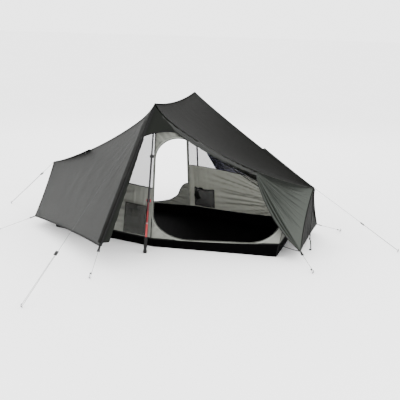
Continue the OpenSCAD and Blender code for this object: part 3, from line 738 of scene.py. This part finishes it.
def closed_door(side, drop):
    """Door half that is zipped down, with the pull of its three corners in the cloth."""
    u, v = grid(90, 72)
    g = closed_surface(drop, u, v)
    from_peak = np.hypot(u * 1.3, v)
    angle = np.arctan2(v + 0.02, u + 0.02)
    fan = creases(angle * 1.3, from_peak * 0.2, 11 if side == "front" else 12, 7, 3.0)
    low = creases(u * 0.8, v * 0.5, 21, 6, 2.0)
    height = 0.008 * fan * ramp(from_peak, 0.0, 0.12) * (1 - ramp(from_peak, 0.40, 1.1))
    height = height + (0.006 * low + 0.012) * arch(u) * arch(v)
    edge = np.minimum.reduce([u, 1 - u, v, 1 - v])
    g = push(g, height * ramp(edge, 0, 0.06), (0, -1, 0.5))
    # painted shade: fold darkens the panel towards its top, the ridge, and fades out towards the hem
    obj = cloth(f"door_{side}_closed", at(side, g), fold=0.26 * (1 - v))
    settle(obj, FLY_GREY, stands_for=[f"fly_door_{side}_closed"])
    t = np.linspace(0, 1, 60)
    bottom = closed_surface(drop, t, np.ones_like(t))
    out = (0, -0.9, 0.3)
    hem(f"hem_{side}_closed", at(side, bottom), 0.014, up=at(side, out))
    hem(f"edge_{side}_closed", at(side, closed_surface(drop, np.ones_like(t), t)), 0.010, FLY_DARK,
        up=at(side, out))
    storm_flap(side, drop)
    zip_facing(side)
    reinforcement(f"patch_{side}_left", side, lambda a, b: closed_surface(drop, 1 - a * 0.075, 1 - b * 0.12))
    reinforcement(f"patch_{side}_zip", side, lambda a, b: closed_surface(drop, a * 0.06, 1 - b * 0.10))


def reinforcement(name, side, surface):
    """Doubled cloth on a corner."""
    a, b = grid(14, 14)
    b = b * (1 - a) ** 0.5
    g = push(surface(a, b), np.full(a.shape, 0.0016), (0, -1, 0.3))
    settle(cloth(name, at(side, g), 0.0008), FLY_GREY)


def storm_flap(side, drop):
    """Flap that covers the zip, folded over at its free edge, with the zip's tape and coil."""
    s, q = grid(60, 14)
    width = 0.085 - 0.045 * s
    g = closed_surface(drop, width * q / 1.15, 0.03 + 0.955 * s)
    ripple = 0.0022 * waves(s * 1.6, 5) * arch(q)
    g = push(g, 0.004 + 0.007 * arch(q) ** 0.6 + ripple, (0, -1, 0.3))
    obj = settle(cloth(f"storm_flap_{side}", at(side, g), 0.0016), FLY_DARK,
                 stands_for=["fly_zip_tapes"])
    edge = zip_line(np.linspace(0.03, 1, 60))
    tape = strap(f"zip_tape_{side}", at(side, edge + point(0.004, -0.002, 0)), 0.026, 0.0012,
                 up=at(side, (0, -0.8, 0.5)))
    settle(tape, TAPE)
    coil(f"zip_coil_{side}", at(side, edge + point(0.004, -0.0034, 0)), at(side, (0, -0.85, 0.5)))


def zip_facing(side):
    """Cloth that hangs behind the zip, towards the doorway. It is wider on the rear."""
    s, q = grid(50, 10)
    width = 0.018 + 0.044 * s if side == "front" else 0.060 + 0.070 * arch(np.clip(s * 1.1, 0, 1))
    g = shift(zip_line(0.26 + 0.725 * s) + point(0.002, 0.003, 0), width * q, (1, 0.18, 0.22))
    g = push(g, 0.004 * waves(s * 2.2, 8) * q, (0, -1, 0))
    obj = settle(cloth(f"zip_facing_{side}", at(side, g), 0.001), FLY_SHADE)


def coil(name, path, up):
    """The zip's coil: one small oval loop after another."""
    pitch, half_width, half_height = 0.006, 0.0026, 0.0011
    n = int(measured(path) / pitch)
    t = np.linspace(0, 1, n * 4 + 1)
    along = unit(path[-1] - path[0])
    side = unit(np.cross(along, up))
    lift = np.cross(side, along)
    a = t * n * TAU
    g = mix(path[0], path[-1], t)
    g = shift(shift(g, np.cos(a) * half_width, side), np.sin(a) * half_height, lift)
    settle(swept(name, g, oval(0.0014, 0.0014, 4), up=along), BLACK)


def open_door(side):
    """Door half stretched down to its hem corner, with the roll and the top piece of the open half."""
    stretched(side)
    roll(side)
    top_piece(side)


def stretched(side):
    """The part between the tie, the apex and the hem corner, gathered in long pleats at the tie."""
    tie = open_ridge(TIE_AT) - point(0, 0.002, 0.004)
    fan, s = grid(132, 60)
    top, inner = 0.16, 0.80
    middle = np.clip((fan - top) / (inner - top), 0, 1)
    belly = arch(s)
    face = unit(np.cross(APEX_FRONT - tie, HEM_RIGHT - tie))
    face = face * (-1 if face[1] > 0 else 1)
    in_plane = unit(np.cross(HEM_RIGHT - tie, face))
    in_plane = in_plane * (1 if in_plane[0] < 0 else -1)
    # the smooth sheet, which fans out of the tie with its top edge along the ridge
    far = bow(APEX_FRONT - point(0, 0.002, 0.002), HEM_RIGHT, (-0.014, 0, 0), middle)
    g = mix_at(shift(tie, fan, (0.010, -0.018, -0.026)), far, s)
    ridge_path = open_ridge(TIE_AT + (1 - TIE_AT) * s) - point(0, 0.002, 0.003)
    g = mix_at(ridge_path, g, ramp(fan, 0.0, top))
    # pleats that hang under the ridge
    q = np.clip(fan / top, 0, 1)
    hang = arch(np.clip(s * 1.05, 0, 1)) ** 0.8
    g = shift(g, 0.050 * q * hang * (1 - ramp(fan, top, top * 2.2)), (0.12, -0.10, -1))
    depth = np.where(fan < top, np.sin(q * TAU * 2.5) * 0.015 * hang, 0)
    # pleats along the open edge, which converge again at the hem corner
    q = np.clip((fan - inner) / (1 - inner), 0, 1)
    g = shift(g, 0.062 * q * belly ** 0.75, in_plane)
    depth = depth + np.where(fan > inner, np.sin(q * TAU * 2.5) * 0.016 * belly ** 0.75, 0)
    # creases between them, and a few deeper pleats
    fold = creases(middle * 1.7, s * 0.12, 31 if side == "front" else 32, 8, 3.5)
    depth = depth + 0.085 * fold * arch(middle) ** 0.5 * belly * (1.15 - 0.8 * s)
    for place, size in ((0.07, 0.016), (0.16, 0.014), (0.27, 0.011), (0.42, 0.008)):
        pleat = np.exp(-((middle - place - 0.03 * s) / (0.020 + 0.02 * s)) ** 2) * (fan > top)
        depth = depth + size * pleat * arch(np.clip(s * 1.15, 0, 1)) ** 0.7
    g = shift(g, depth - 0.030 * belly * arch(middle), face)
    # painted shade: dark is shade painted on the pleats' shaded sides, plus under, a painted shadow of the
    # roof's edge along the top of the sheet that fades towards the apex
    under = 0.62 * (1 - ramp(fan, 0.04, 0.30)) * ramp(s, 0.0, 0.10) * (1 - 0.5 * s)
    dark = np.clip(slope(depth, 0, 2.2, 0.75) + under, 0, 0.8)
    obj = settle(cloth(f"door_{side}_stretched", at(side, g), fold=dark), FLY_GREEN,
                 stands_for=[f"fly_door_{side}_open"])
    hem(f"edge_{side}_open", at(side, g[-1]), 0.012, TAPE_GREY, up=at(side, face))
    right = at(side, g[8:106, -1])
    hem(f"edge_{side}_right", right, 0.010, FLY_SHADE, up=at(side, (0, -1, 0)))


def roll(side):
    """The rolled part: one sheet wound on itself, tighter towards the tie."""
    turns, segments, stations = 4.6, 26, 120
    theta, s = grid(int(turns * segments), stations)
    theta = theta * turns
    start, end = ROLL_AT - 0.085, TIE_AT + 0.012
    centre = open_ridge(start + (end - start) * s) - point(0, 0.010, ROLL_R + 0.003)
    along = unit(APEX_FRONT - PEAK)
    out = unit(np.cross(along, point(0, 0, 1)))
    out = out * (-1 if out[1] > 0 else 1)
    down = unit(np.cross(along, out))
    down = down * (1 if down[2] < 0 else -1)
    size = ROLL_R * (0.28 + 0.72 * theta / turns) * (1.0 - 0.30 * s ** 1.6) * (0.45 + 0.55 * ramp(s, 0, 0.22))
    lobes = 1 + 0.15 * np.sin(3 * TAU * theta + 5 * s) + 0.12 * np.sin(5 * TAU * theta - 7 * s)
    size = size * (lobes + 0.07 * waves(s * 3 + theta * 0.12, 41))
    a = TAU * theta + 1.2
    tail = 0.012 * ramp(theta, turns - 0.35, turns) * arch(np.clip(s * 1.1, 0, 1))
    g = shift(centre, size * np.cos(a) * 0.86, out)
    g = shift(g, size * np.sin(a) * 1.12 + tail + 0.004 * waves(s * 2.5, 43), down)
    # the roll takes a darker colour than the open door half: painted shade
    obj = settle(cloth(f"door_{side}_roll", at(side, g)), FLY_ROLL_SHADE)


def top_piece(side):
    """The top of the door, above the opening."""
    u, v = grid(48, 48)
    end = open_ridge(ROLL_AT)
    g = coons(
        lambda t: open_ridge(0.012 + (ROLL_AT - 0.012) * t) - point(0, 0.003, 0.003),
        lambda t: bow(zip_line(0.24), end - point(0, 0.012, 0.048), (0, 0.010, 0.018), t),
        lambda t: zip_line(0.012 + 0.228 * t) + point(0.003, 0, -0.002),
        lambda t: end - point(0, 0.003, 0.003) - t[..., None] * point(0, 0.009, 0.045), u, v)
    pull = creases(u * 1.4 + v * 0.5, v - u * 0.4, 51, 6, 3.0)
    g = push(g, (0.008 * pull + 0.010) * arch(u) * arch(v), (0, -1, 0))
    obj = settle(cloth(f"door_{side}_top", at(side, g)), FLY_SHADE)
    hem(f"edge_{side}_top", at(side, g[:, -1]), 0.010, TAPE, up=at(side, (0, -1, 0)))


def end_panel(side):
    """Low upright end between the apex and the hem, drawn in between its corners."""
    u, v = grid(40, 60)
    g = coons(lambda t: bow(APEX_FRONT, HEM_RIGHT, (-0.020, 0, 0), t),
              lambda t: bow(APEX_REAR, turned(HEM_LEFT), (-0.020, 0, 0), t),
              lambda t: mix(APEX_FRONT, APEX_REAR, t),
              lambda t: bow(HEM_RIGHT, turned(HEM_LEFT), (0, 0, 0.012), t), u, v)
    fold = creases(v * 0.9, u * 0.3, 61, 7, 3.0)
    g = push(g, 0.014 * fold * arch(v) * ramp(u, 0, 0.4), (-1, 0, 0))
    name = "right" if side == "front" else "left"
    obj = settle(cloth(f"end_{name}", at(side, g)), FLY_DARK, stands_for=[f"fly_end_{name}"])
    hem(f"hem_end_{name}", at(side, g[-1]), 0.012, up=at(side, (1, 0, 0)))
    hem(f"seam_end_{name}", at(side, g[:, -1]), 0.010, FLY_DARK, up=at(side, (1, 0, 0)))


def vent_hood(side, drop):
    """Stiffened hood over the slit near the closed side's apex, with a wired lip."""
    u, v = grid(50, 12)
    along = 0.6 + 0.35 * u
    lip = mix_at(point(0, -0.002, 0.002), (1 - 0.88 * u)[..., None] * point(-0.006, -0.044, 0.002), v)
    g = shift(ridge(PEAK, LEFT_FRONT, drop, along) + lip, 0.006 * arch(v) * (1 - u), (0, 0, 1))
    obj = cloth(f"vent_hood_{side}", at(side, g), 0.0014)
    settle(obj, FLY_DARK, stands_for=["vent_hoods"])
    trim(f"vent_lip_{side}", at(side, g[:, -1]), 0.004, 0.004, sides=8)
    # the slit's sheet is the vent's mesh, made near-opaque black as painted shade under the hood
    g = closed_surface(drop, along, 0.012 + 0.052 * v * (1 - 0.7 * u)) + point(0, -0.0012, 0.0012)
    slit = settle(cloth(f"vent_net_shade_{side}", at(side, g), 0.0005), NET_VENT_SHADE)


def flysheet():
    roofs()
    for side, drop in zip(SIDES, (CLOSED_DROP, FAR_DROP)):
        closed_door(side, drop)
    for side, drop in zip(SIDES, (CLOSED_DROP, FAR_DROP)):
        vent_hood(side, drop)
    for side in SIDES:
        open_door(side)
    for side in SIDES:
        end_panel(side)


# ---------- inner tent ----------

def tub_height(x):
    return TUB_MID_H + (TUB_END_H - TUB_MID_H) * (np.abs(x) / WALL_X) ** 2


def wall_low(x):
    x = np.asarray(x, float)
    y = FLOOR_MID_Y + (FLOOR_END_Y - FLOOR_MID_Y) * np.minimum(1, np.abs(x) / FLOOR_X) + TUB_FLARE
    return np.stack([x, -y, tub_height(x) + 0.001], -1)


def wall_high(x):
    x = np.asarray(x, float)
    t = np.abs(x) / INNER_APEX[0]
    y = INNER_PEAK[1] * (1 - t) + INNER_APEX[1] * t
    z = INNER_PEAK[2] * (1 - t) + INNER_APEX[2] * t - 4 * t * (1 - t) * INNER_SAG
    return np.stack([x, -y, z], -1)


def wall_at(x, z):
    low, high = wall_low(x), wall_high(x)
    t = (np.asarray(z, float) - low[..., 2]) / (high[..., 2] - low[..., 2])
    return mix_at(low, high, t)


def door_outline(side):
    """The inner door seen from its own side: arcs joined by straight edges, from its lower left corner."""
    points_per_arc = 14
    arcs = [(0.300, 0.290, 0.300, 0.202, 270, 180), (0.165, 0.750, 0.165, 0.165, 180, 57),
            (0.900, 0.300, 0.125, 0.125, 57, 0), (0.770, 0.266, 0.255, 0.160, 0, -90)]
    points = []
    for x, z, wide, high, a0, a1 in arcs:
        a = np.radians(np.linspace(a0, a1, points_per_arc))
        points.append(np.stack([x + wide * np.cos(a), z + high * np.sin(a)], -1))
    outline = np.concatenate(points)
    outline[:, 0] += DOOR_SHIFT[side] * (1 - outline[:, 0] / WALL_X)
    return outline


def mesh_edge(side):
    return DOOR_SHIFT[side] - MESH_EDGE


def evenly(path, n):
    """The same line with its points at even distances."""
    s = travelled(path)
    even = np.linspace(0, s[-1], n)
    return np.stack([np.interp(even, s, path[:, k]) for k in range(path.shape[1])], -1)


def reach(centre, angles, inside):
    """Distance from the centre to the edge of a region, in each direction."""
    low, high = np.zeros_like(angles), np.full_like(angles, 2.0)
    for _ in range(34):
        middle = (low + high) / 2
        within = inside(centre[0] + middle * np.cos(angles), centre[1] + middle * np.sin(angles))
        low, high = np.where(within, middle, low), np.where(within, high, middle)
    return low


def in_door(side, x, z):
    edge = door_outline(side)
    step = np.roll(edge, -1, axis=0) - edge
    cross = step[:, 0, None] * (z - edge[:, 1, None]) - step[:, 1, None] * (x - edge[:, 0, None])
    return (cross < 0).all(axis=0)


def in_right_part(side, x, z):
    held = np.clip(x, -WALL_X, WALL_X)
    return (x > mesh_edge(side)) & (x < WALL_X) & (z > wall_low(held)[..., 2]) & (z < wall_high(held)[..., 2])


def outward(g, height):
    """Moves a front wall's points towards the front."""
    return shift(g, height, (0, -1, 0))


def door_wall(side):
    """The wall round the door, gathered along the arch."""
    centre = (0.46, 0.44)
    corners = [(x, f(np.array(x))[2]) for x in (mesh_edge(side), WALL_X) for f in (wall_low, wall_high)]
    angles = np.concatenate([np.linspace(-np.pi, np.pi, 420, endpoint=False),
                             [math.atan2(z - centre[1], x - centre[0]) for x, z in corners]])
    angles = np.sort(angles)
    near, far = (reach(centre, angles, lambda x, z: inside(side, x, z))
                 for inside in (in_door, in_right_part))
    near = np.minimum(near, far - 0.001)
    q = np.linspace(0, 1, 13)[None, :]
    r = near[:, None] * (1 - q) + (far - 0.0005)[:, None] * q
    x, z = centre[0] + r * np.cos(angles)[:, None], centre[1] + r * np.sin(angles)[:, None]
    g = wall_at(x, z)
    around = (angles + np.pi)[:, None] / TAU
    gather = waves(around * 7, 71, 7, 3.0, 11.0) * arch(q) ** 0.7
    room = np.clip((far - near)[:, None] / 0.12, 0.15, 1)
    g = outward(g, 0.014 * gather * room + 0.004 * arch(q) * room)
    # painted shade on the shaded sides of the gathers, higher up on the wall only
    dark = slope(gather * room, 0, 1.6, 0.30) * ramp(z, 0.45, 0.8)
    obj = settle(cloth(f"wall_{side}", at(side, g), round_u=True, fold=dark), INNER,
                 stands_for=[f"inner_wall_{side}"])
    slanted_part(obj, side)


def slanted_part(obj, side):
    """The strip above the door's slanted edge is mesh instead of cloth."""
    first, last = 0.30, 0.965
    start_x, start_z, fall = 0.255, 0.850, 0.655  # a line just above the edge
    obj.data.materials.append(NET_CLEAR)
    for face in obj.data.polygons:
        x, _, z = at(side, face.center)
        if first < x < last and z > start_z - fall * (x - start_x):
            face.material_index = 1


def mesh_start():
    """Where the mesh window's seam meets the top of the wall."""
    x = np.linspace(-WALL_X, 0, 2000)
    return float(x[np.argmax(wall_high(x)[:, 2] > SEAM_H + 0.003)])


def plain_wall(side):
    """The cloth of the wall away from the door, with creases that fan out of its low end."""
    u, v = grid(80, 40)
    x = -WALL_X + (WALL_X + mesh_edge(side)) * u
    low, top = wall_low(x)[..., 2], np.minimum(wall_high(x)[..., 2] - 0.0006, SEAM_H)
    g = wall_at(x, low + (top - low) * v)
    across, up = g[..., 0] + WALL_X + 0.16, g[..., 2] - 0.26
    away = np.hypot(up, across)
    fold = creases(np.arctan2(up, across) * 1.5, away * 0.30, 81 if side == "front" else 82, 9, 3.0)
    near_door = creases(u * 2.4, v * 0.3, 83, 7, 3.0) * ramp(u, 0.55, 1)
    fold = 1.6 * fold * (1 - ramp(away, 0.5, 1.25)) + 0.8 * near_door
    height = (0.075 * fold - 0.008) * arch(np.clip(u, 0.03, 1)) ** 0.3 * arch(v) ** 0.6
    # painted shade: fold darkens the creases' shaded sides; the rear wall takes INNER_LIT, a lighter copy of
    # the inner cloth that paints light on it
    obj = cloth(f"wall_{side}_low", at(side, outward(g, height)), fold=slope(-height, 1, 1.3, 0.40))
    settle(obj, INNER if side == "front" else INNER_LIT)


def mesh_window(side):
    """The mesh above that cloth."""
    u, v = grid(60, 36)
    start, last = mesh_start(), mesh_edge(side)
    x = start + (last - start) * u
    high = wall_high(x)[..., 2] - 0.0006
    g = wall_at(x, SEAM_H + (high - SEAM_H) * v)
    fold = creases(u + v * 0.6, v, 91, 7, 2.0)
    g = outward(g, (0.008 * fold + 0.006) * arch(u) * arch(v))
    obj = settle(cloth(f"mesh_{side}", at(side, g), 0.0005), NET, stands_for=["inner_mesh"])


def wall_trim(side):
    """Black tape along the mesh window, the canopy's edge and the floor's rim."""
    last = mesh_edge(side)
    upright = np.linspace(wall_low(last)[2], wall_high(last)[2], 50)
    seams = {"seam_mesh_low": wall_at(np.linspace(mesh_start(), last, 50), np.full(50, SEAM_H)),
             "seam_mesh_side": wall_at(np.full(50, last), upright),
             "seam_canopy": wall_high(np.linspace(-WALL_X, WALL_X, 140))}
    for name, path in seams.items():
        trim(f"{name}_{side}", at(side, outward(path, 0.0015)), 0.008, 0.0032, up=(0, 1, 0))
    rim = outward(wall_low(np.linspace(-WALL_X, WALL_X, 160)), 0.001)
    trim(f"floor_rim_{side}", at(side, rim), *RIM_SECTION, sides=12, power=3)


def door_edges(side):
    """Zip along the inner door with its pale facing."""
    outline = door_outline(side)
    closed = evenly(np.concatenate([outline, outline[:1]]), 300)[:-1]
    middle = closed.mean(axis=0)
    step = np.roll(closed, -1, axis=0) - np.roll(closed, 1, axis=0)
    out = np.stack([step[:, 1], -step[:, 0]], -1)
    out = unit(out) * np.sign((unit(out) * (closed - middle)).sum(axis=1).mean())
    rows = []
    for away, lift in ((-0.004, 0.0010), (0.003, 0.0022), (0.010, 0.0024), (0.016, 0.0014)):
        spot = closed + out * away
        spot[:, 0] = np.clip(spot[:, 0], -WALL_X + 0.004, WALL_X - 0.004)
        spot[:, 1] = np.maximum(spot[:, 1], wall_low(spot[:, 0])[:, 2] + 0.001)
        rows.append(outward(wall_at(spot[:, 0], spot[:, 1]), lift + 0.003))
    facing = cloth(f"door_facing_{side}", at(side, np.stack(rows, axis=1)), 0.0010, round_u=True)
    slanted_part(settle(facing, INNER_PALE), side)
    path = outward(wall_at(closed[:, 0], closed[:, 1]), 0.0045)
    path = np.concatenate([path, path[:2]])
    trim(f"door_zip_{side}", at(side, path), 0.0060, 0.0036, up=(0, 1, 0), power=3, stands_for=["inner_zips"])


def pocket(side, x0, x1, z0, z1):
    """Mesh pocket beside the door, bound at its edges, full of the door's flap."""
    u, v = grid(30, 24)
    bulge = 0.005 + 0.060 * arch(u) ** 0.9 * (0.12 + 0.88 * arch(v * 0.62))
    fold = 0.004 * waves(u * 2.5 + v * 0.4, 17) * arch(u) * v
    g = outward(wall_at(x0 + (x1 - x0) * u, z0 + (z1 - z0) * v), -(bulge + fold))
    obj = settle(cloth(f"pocket_{side}", at(side, g), 0.0006), NET_DARK, stands_for=["inner_pockets"])
    for name, path in (("top", g[:, -1]), ("left", g[0]), ("right", g[-1]), ("foot", g[:, 0])):
        trim(f"pocket_{name}_{side}", at(side, path), *BINDING, up=at(side, (0, 1, 0.01)), power=3)


def stuffed_flap(side, x0, x1, z0, z1):
    """The inner door's flap, stuffed into the pocket as a lump."""
    wide, high = x1 - x0, z1 - z0
    a, s = np.meshgrid(np.linspace(0, TAU, 48, endpoint=False), np.linspace(0, 1, 40), indexing="ij")
    half = arch(np.clip(s, 0.002, 0.998)) ** 0.45
    lump = 1 + 0.13 * waves(s * 2.2 + a / TAU, 23) + 0.10 * np.sin(5 * a + 9 * s)
    x = x0 * 0.34 + x1 * 0.66 + wide * 0.32 * (2 * s - 1)
    g = outward(wall_at(x, z0 + high * 0.60 + 0.02 * np.sin(3 * s)), -0.034 - 0.020 * half * lump * np.cos(a))
    g = shift(g, half * lump * np.sin(a) * high * 0.30, (0, 0, 1))
    obj = cloth(f"door_flap_{side}", at(side, g), 0.0008, round_u=True)
    # the rear flap takes the fly's shade-dark cloth instead of the inner cloth: painted shade inside the rear
    # doorway
    settle(obj, FLY_SHADE if side == "rear" else INNER, stands_for=[f"inner_door_{side}"])


def pocket_shadow_and_stitching(x0, x1, z0, z1):
    """The front pocket's stitching as it shows on the outside of the wall, and a dark see-through sheet
    there: painted shadow of the pocket and its darker cloth behind the wall.
    """
    u, v = grid(24, 24)
    g = outward(wall_at(x0 + (x1 - x0) * u, z0 + (z1 - z0) * v), 0.014)
    # painted shadow: a dark see-through sheet just outside the wall over the pocket
    settle(cloth("pocket_shadow", g, 0.0005), NET_POCKET_SHADOW)
    for name, path in (("top", g[:, -1]), ("left", g[0]), ("right", g[-1])):
        trim(f"pocket_stitch_{name}", outward(path, 0.001), 0.005, 0.002, up=(0, 1, 0.01), sides=8)


def sill_flap():
    """The lower corner of the rear door's flap, which hangs over the sill with a bound edge."""
    u, v = grid(60, 20)
    s = u[:, 0]
    share = (0, 0.12, 0.25, 0.38, 0.5, 0.7, 0.85, 1)
    free_x = np.interp(s, share, (-0.004, 0.026, 0.056, 0.078, 0.100, 0.170, 0.270, 0.420))
    free_z = np.interp(s, share, (0.320, 0.312, 0.285, 0.240, 0.186, 0.138, 0.110, 0.094))
    for edge in (free_x, free_z):
        for _ in range(6):
            edge[1:-1] = (edge[:-2] + edge[1:-1] + edge[2:]) / 3
    low_x = np.interp(s, (0, 0.5, 1), (-0.006, -0.004, 0.420))
    low_z = np.interp(s, (0, 0.5, 1), (0.320, 0.086, 0.088))
    x = free_x[:, None] * (1 - v) + low_x[:, None] * v + DOOR_SHIFT["rear"]
    z = free_z[:, None] * (1 - v) + low_z[:, None] * v
    sway = 0.008 + 0.010 * waves(u * 1.5 + v * 0.3, 131) * (1 - v)
    g = turned(outward(wall_at(x, z), -sway))
    obj = settle(cloth("sill_flap", g, 0.0008), INNER)
    trim("sill_flap_binding", g[:, 0], *BINDING, up=(0, 1, 0.01), power=3)


def bathtub():
    """Tray floor with six corners, flared walls and wrinkles where it lies on the ground."""
    def ring(flare, share):
        x, e, m = FLOOR_X + flare, FLOOR_END_Y + flare, FLOOR_MID_Y + flare
        corners = np.array([(-x, -e), (0, -m), (x, -e), (x, e), (0, m), (-x, e), (-x, -e)])
        sides = [np.linspace(a, b, n, endpoint=False) for a, b, n in
                 zip(corners[:-1], corners[1:], (90, 90, 60, 90, 90, 60))]
        return np.concatenate(sides) * share

    low = 0.0006
    rings = []
    for share in np.linspace(0.0001, 1, 60):
        flat = ring(0, share)
        wrinkle = creases(flat[:, 0] * 1.4, flat[:, 1] * 1.8, 101, 12, 6.0)
        swell = 0.5 + 0.5 * waves(flat[:, 0] * 0.8 + flat[:, 1] * 0.5, 103)
        z = low + (0.005 * wrinkle + 0.003 * swell) * (1 - ramp(share, 0.93, 1))
        rings.append(np.column_stack([flat, np.maximum(z, low)]))
    for t in np.linspace(0, 1, 12)[1:]:
        wall = ring(TUB_FLARE * t, 1.0)
        around = np.arange(len(wall)) / len(wall)
        wrinkle = 0.0035 * waves(around * 16, 107, 7) * arch(t)
        top = low + tub_height(wall[:, 0]) * t
        rings.append(np.column_stack([wall + unit(wall) * wrinkle[:, None], top]))
    obj = cloth("bathtub", np.stack(rings, axis=1), 0.0010, round_u=True)
    settle(obj, FLOOR_BLACK, stands_for=["inner_floor"])
    for n, (sx, sy) in enumerate(((1, 1), (1, -1), (-1, 1), (-1, -1))):
        path = np.stack([point(sx * (FLOOR_X + TUB_FLARE * t), sy * (FLOOR_END_Y + TUB_FLARE * t),
                               0.003 + TUB_END_H * t) for t in np.linspace(0, 0.97, 12)])
        trim(f"tub_seam_{n}", path, 0.006, 0.003, up=(sx, sy, 0), sides=8)


def canopy():
    """Roof of the inner tent."""
    u, v = grid(120, 44)
    top = wall_high((2 * u - 1) * WALL_X)
    sag = 0.026 * 4 * v * (1 - v)
    fold = creases(u * 2.0, v * 0.35, 111, 10, 3.0) * arch(v)
    spread = np.clip(np.abs(top[..., 1]) / 0.2, 0, 1)
    z = top[..., 2] - (sag + 0.008 * fold) * spread + 0.0015
    g = np.stack([top[..., 0], top[..., 1] * (1 - 2 * v), z], -1)
    obj = settle(cloth("canopy", g), INNER_PALE, stands_for=["inner_canopy"])


def inner_end(side):
    """Upright end of the inner tent."""
    s, q = grid(36, 30)
    low, high = wall_low(WALL_X), wall_high(WALL_X)
    edge = mix(low, high, s) + point(0.003, 0, 0)
    g = np.stack([edge[..., 0], edge[..., 1] * (1 - 2 * q), edge[..., 2]], -1)
    g = shift(g, 0.010 * creases(q, s * 0.4, 121, 8, 3.0) * arch(q) * arch(s), (-1, 0, 0))
    obj = settle(cloth(f"inner_end_{side}", at(side, g), 0.0005), INNER)
    rim = np.stack([np.full(40, WALL_X + 0.002), np.linspace(low[1], -low[1], 40), np.full(40, low[2])], -1)
    trim(f"floor_rim_end_{side}", at(side, rim), *RIM_SECTION, sides=12, power=3)


def corner_straps(side):
    """Elastic straps with a small hook from the inner tent's corners to the flysheet's hem."""
    low = wall_low(WALL_X)
    for name, sx, corner in (("right", 1, HEM_RIGHT), ("left", -1, HEM_LEFT)):
        a = point(sx * (WALL_X + 0.002), low[1] - 0.001, TUB_END_H - 0.004)
        b = corner + point(sx * -0.006, 0.004, -0.005)
        path = bow(a, b, (0, 0, -0.004), np.linspace(0, 1, 24))
        settle(strap(f"corner_strap_{side}_{name}", at(side, path), 0.012, 0.0018), WEBBING,
               stands_for=["inner_corner_straps"])
        along = unit(b - a)
        t = np.linspace(0, 1, 26)
        hook = b + np.outer(np.sin(t * TAU * 0.8) * 0.006, (0, 0, 1)) + np.outer((t - 1) * 0.022, along)
        wire = swept(f"corner_hook_{side}_{name}", at(side, hook), oval(0.0028, 0.0028, 8), up=(0, 1, 0))
        settle(wire, BLACK)


def inner_tent():
    bathtub()
    canopy()
    for side in SIDES:
        inner_end(side)
    for side in SIDES:
        door_wall(side)
        plain_wall(side)
        mesh_window(side)
        wall_trim(side)
        door_edges(side)
        corner_straps(side)
    for side, place in zip(SIDES, ((-0.28, -0.08, 0.110, 0.345), (-0.216, -0.008, 0.100, 0.285))):
        pocket(side, *place)
        stuffed_flap(side, *place)
    pocket_shadow_and_stitching(-0.28, -0.045, 0.095, 0.345)
    sill_flap()


# ---------- webbing and the CAD's own hardware ----------

def hem_straps():
    """Webbing from each hem corner to its buckle, turned back under itself."""
    for name, corner, peg in HEM_TIES:
        along = unit(peg - corner)
        level = unit(np.cross(along, point(0, 0, 1)))
        lift = np.cross(level, along)
        end = corner + along * (WEB_LEN + 0.010)
        t = np.linspace(0, 1, 20)
        out = mix(corner + along * 0.0015 + lift * 0.0012, end + lift * 0.0005, t)
        settle(strap(name.replace("guy", "web"), out, WEB_W, 0.0016, up=lift), WEBBING,
               stands_for=["hem_webbing"])
        back = mix(end - lift * 0.0022, corner + along * 0.006 - lift * 0.0030, t)
        settle(strap(name.replace("guy", "web_back"), back, WEB_W, 0.0014, up=lift), WEBBING)


def end_straps():
    """Webbing from each apex to its guyline, and a short one from each strut's foot to the ground."""
    t = np.linspace(0, 1, 16)
    foot = bow(point(1.239, 0, 0.062), point(1.255, -0.057, 0.008), (0, 0, -0.003), t)
    for side, peg in (("front", PEGS["end_right"]), ("rear", turned(PEGS["end_left"]))):
        path = mix(APEX_TIP, toward(APEX_TIP, peg, APEX_WEB), t)
        settle(strap(f"web_apex_{side}", at(side, path), 0.010, 0.0018), WEBBING)
        settle(strap(f"web_strut_{side}", at(side, foot), 0.010, 0.0016), WEBBING)


FINISH = {
    "black_plastic": BLACK, "strut": STRUT, "peg_metal": PEG_METAL, "grip": FOAM, "pole_red": POLE_RED,
    "pole_black": POLE_BLACK, "lock_red": LOCK_RED,
}


def finish_hardware():
    """The CAD's rigid parts keep their shape and take the materials above."""
    for part in frame["record"]["subparts"]:
        mat = FINISH.get(part["material_slot"])
        if mat:
            node = frame["nodes"][part["node"]]
            node.data.materials.clear()
            node.data.materials.append(mat)


def hardware():
    hem_straps()
    end_straps()
    finish_hardware()


stage()
guylines()
flysheet()
inner_tent()
hardware()
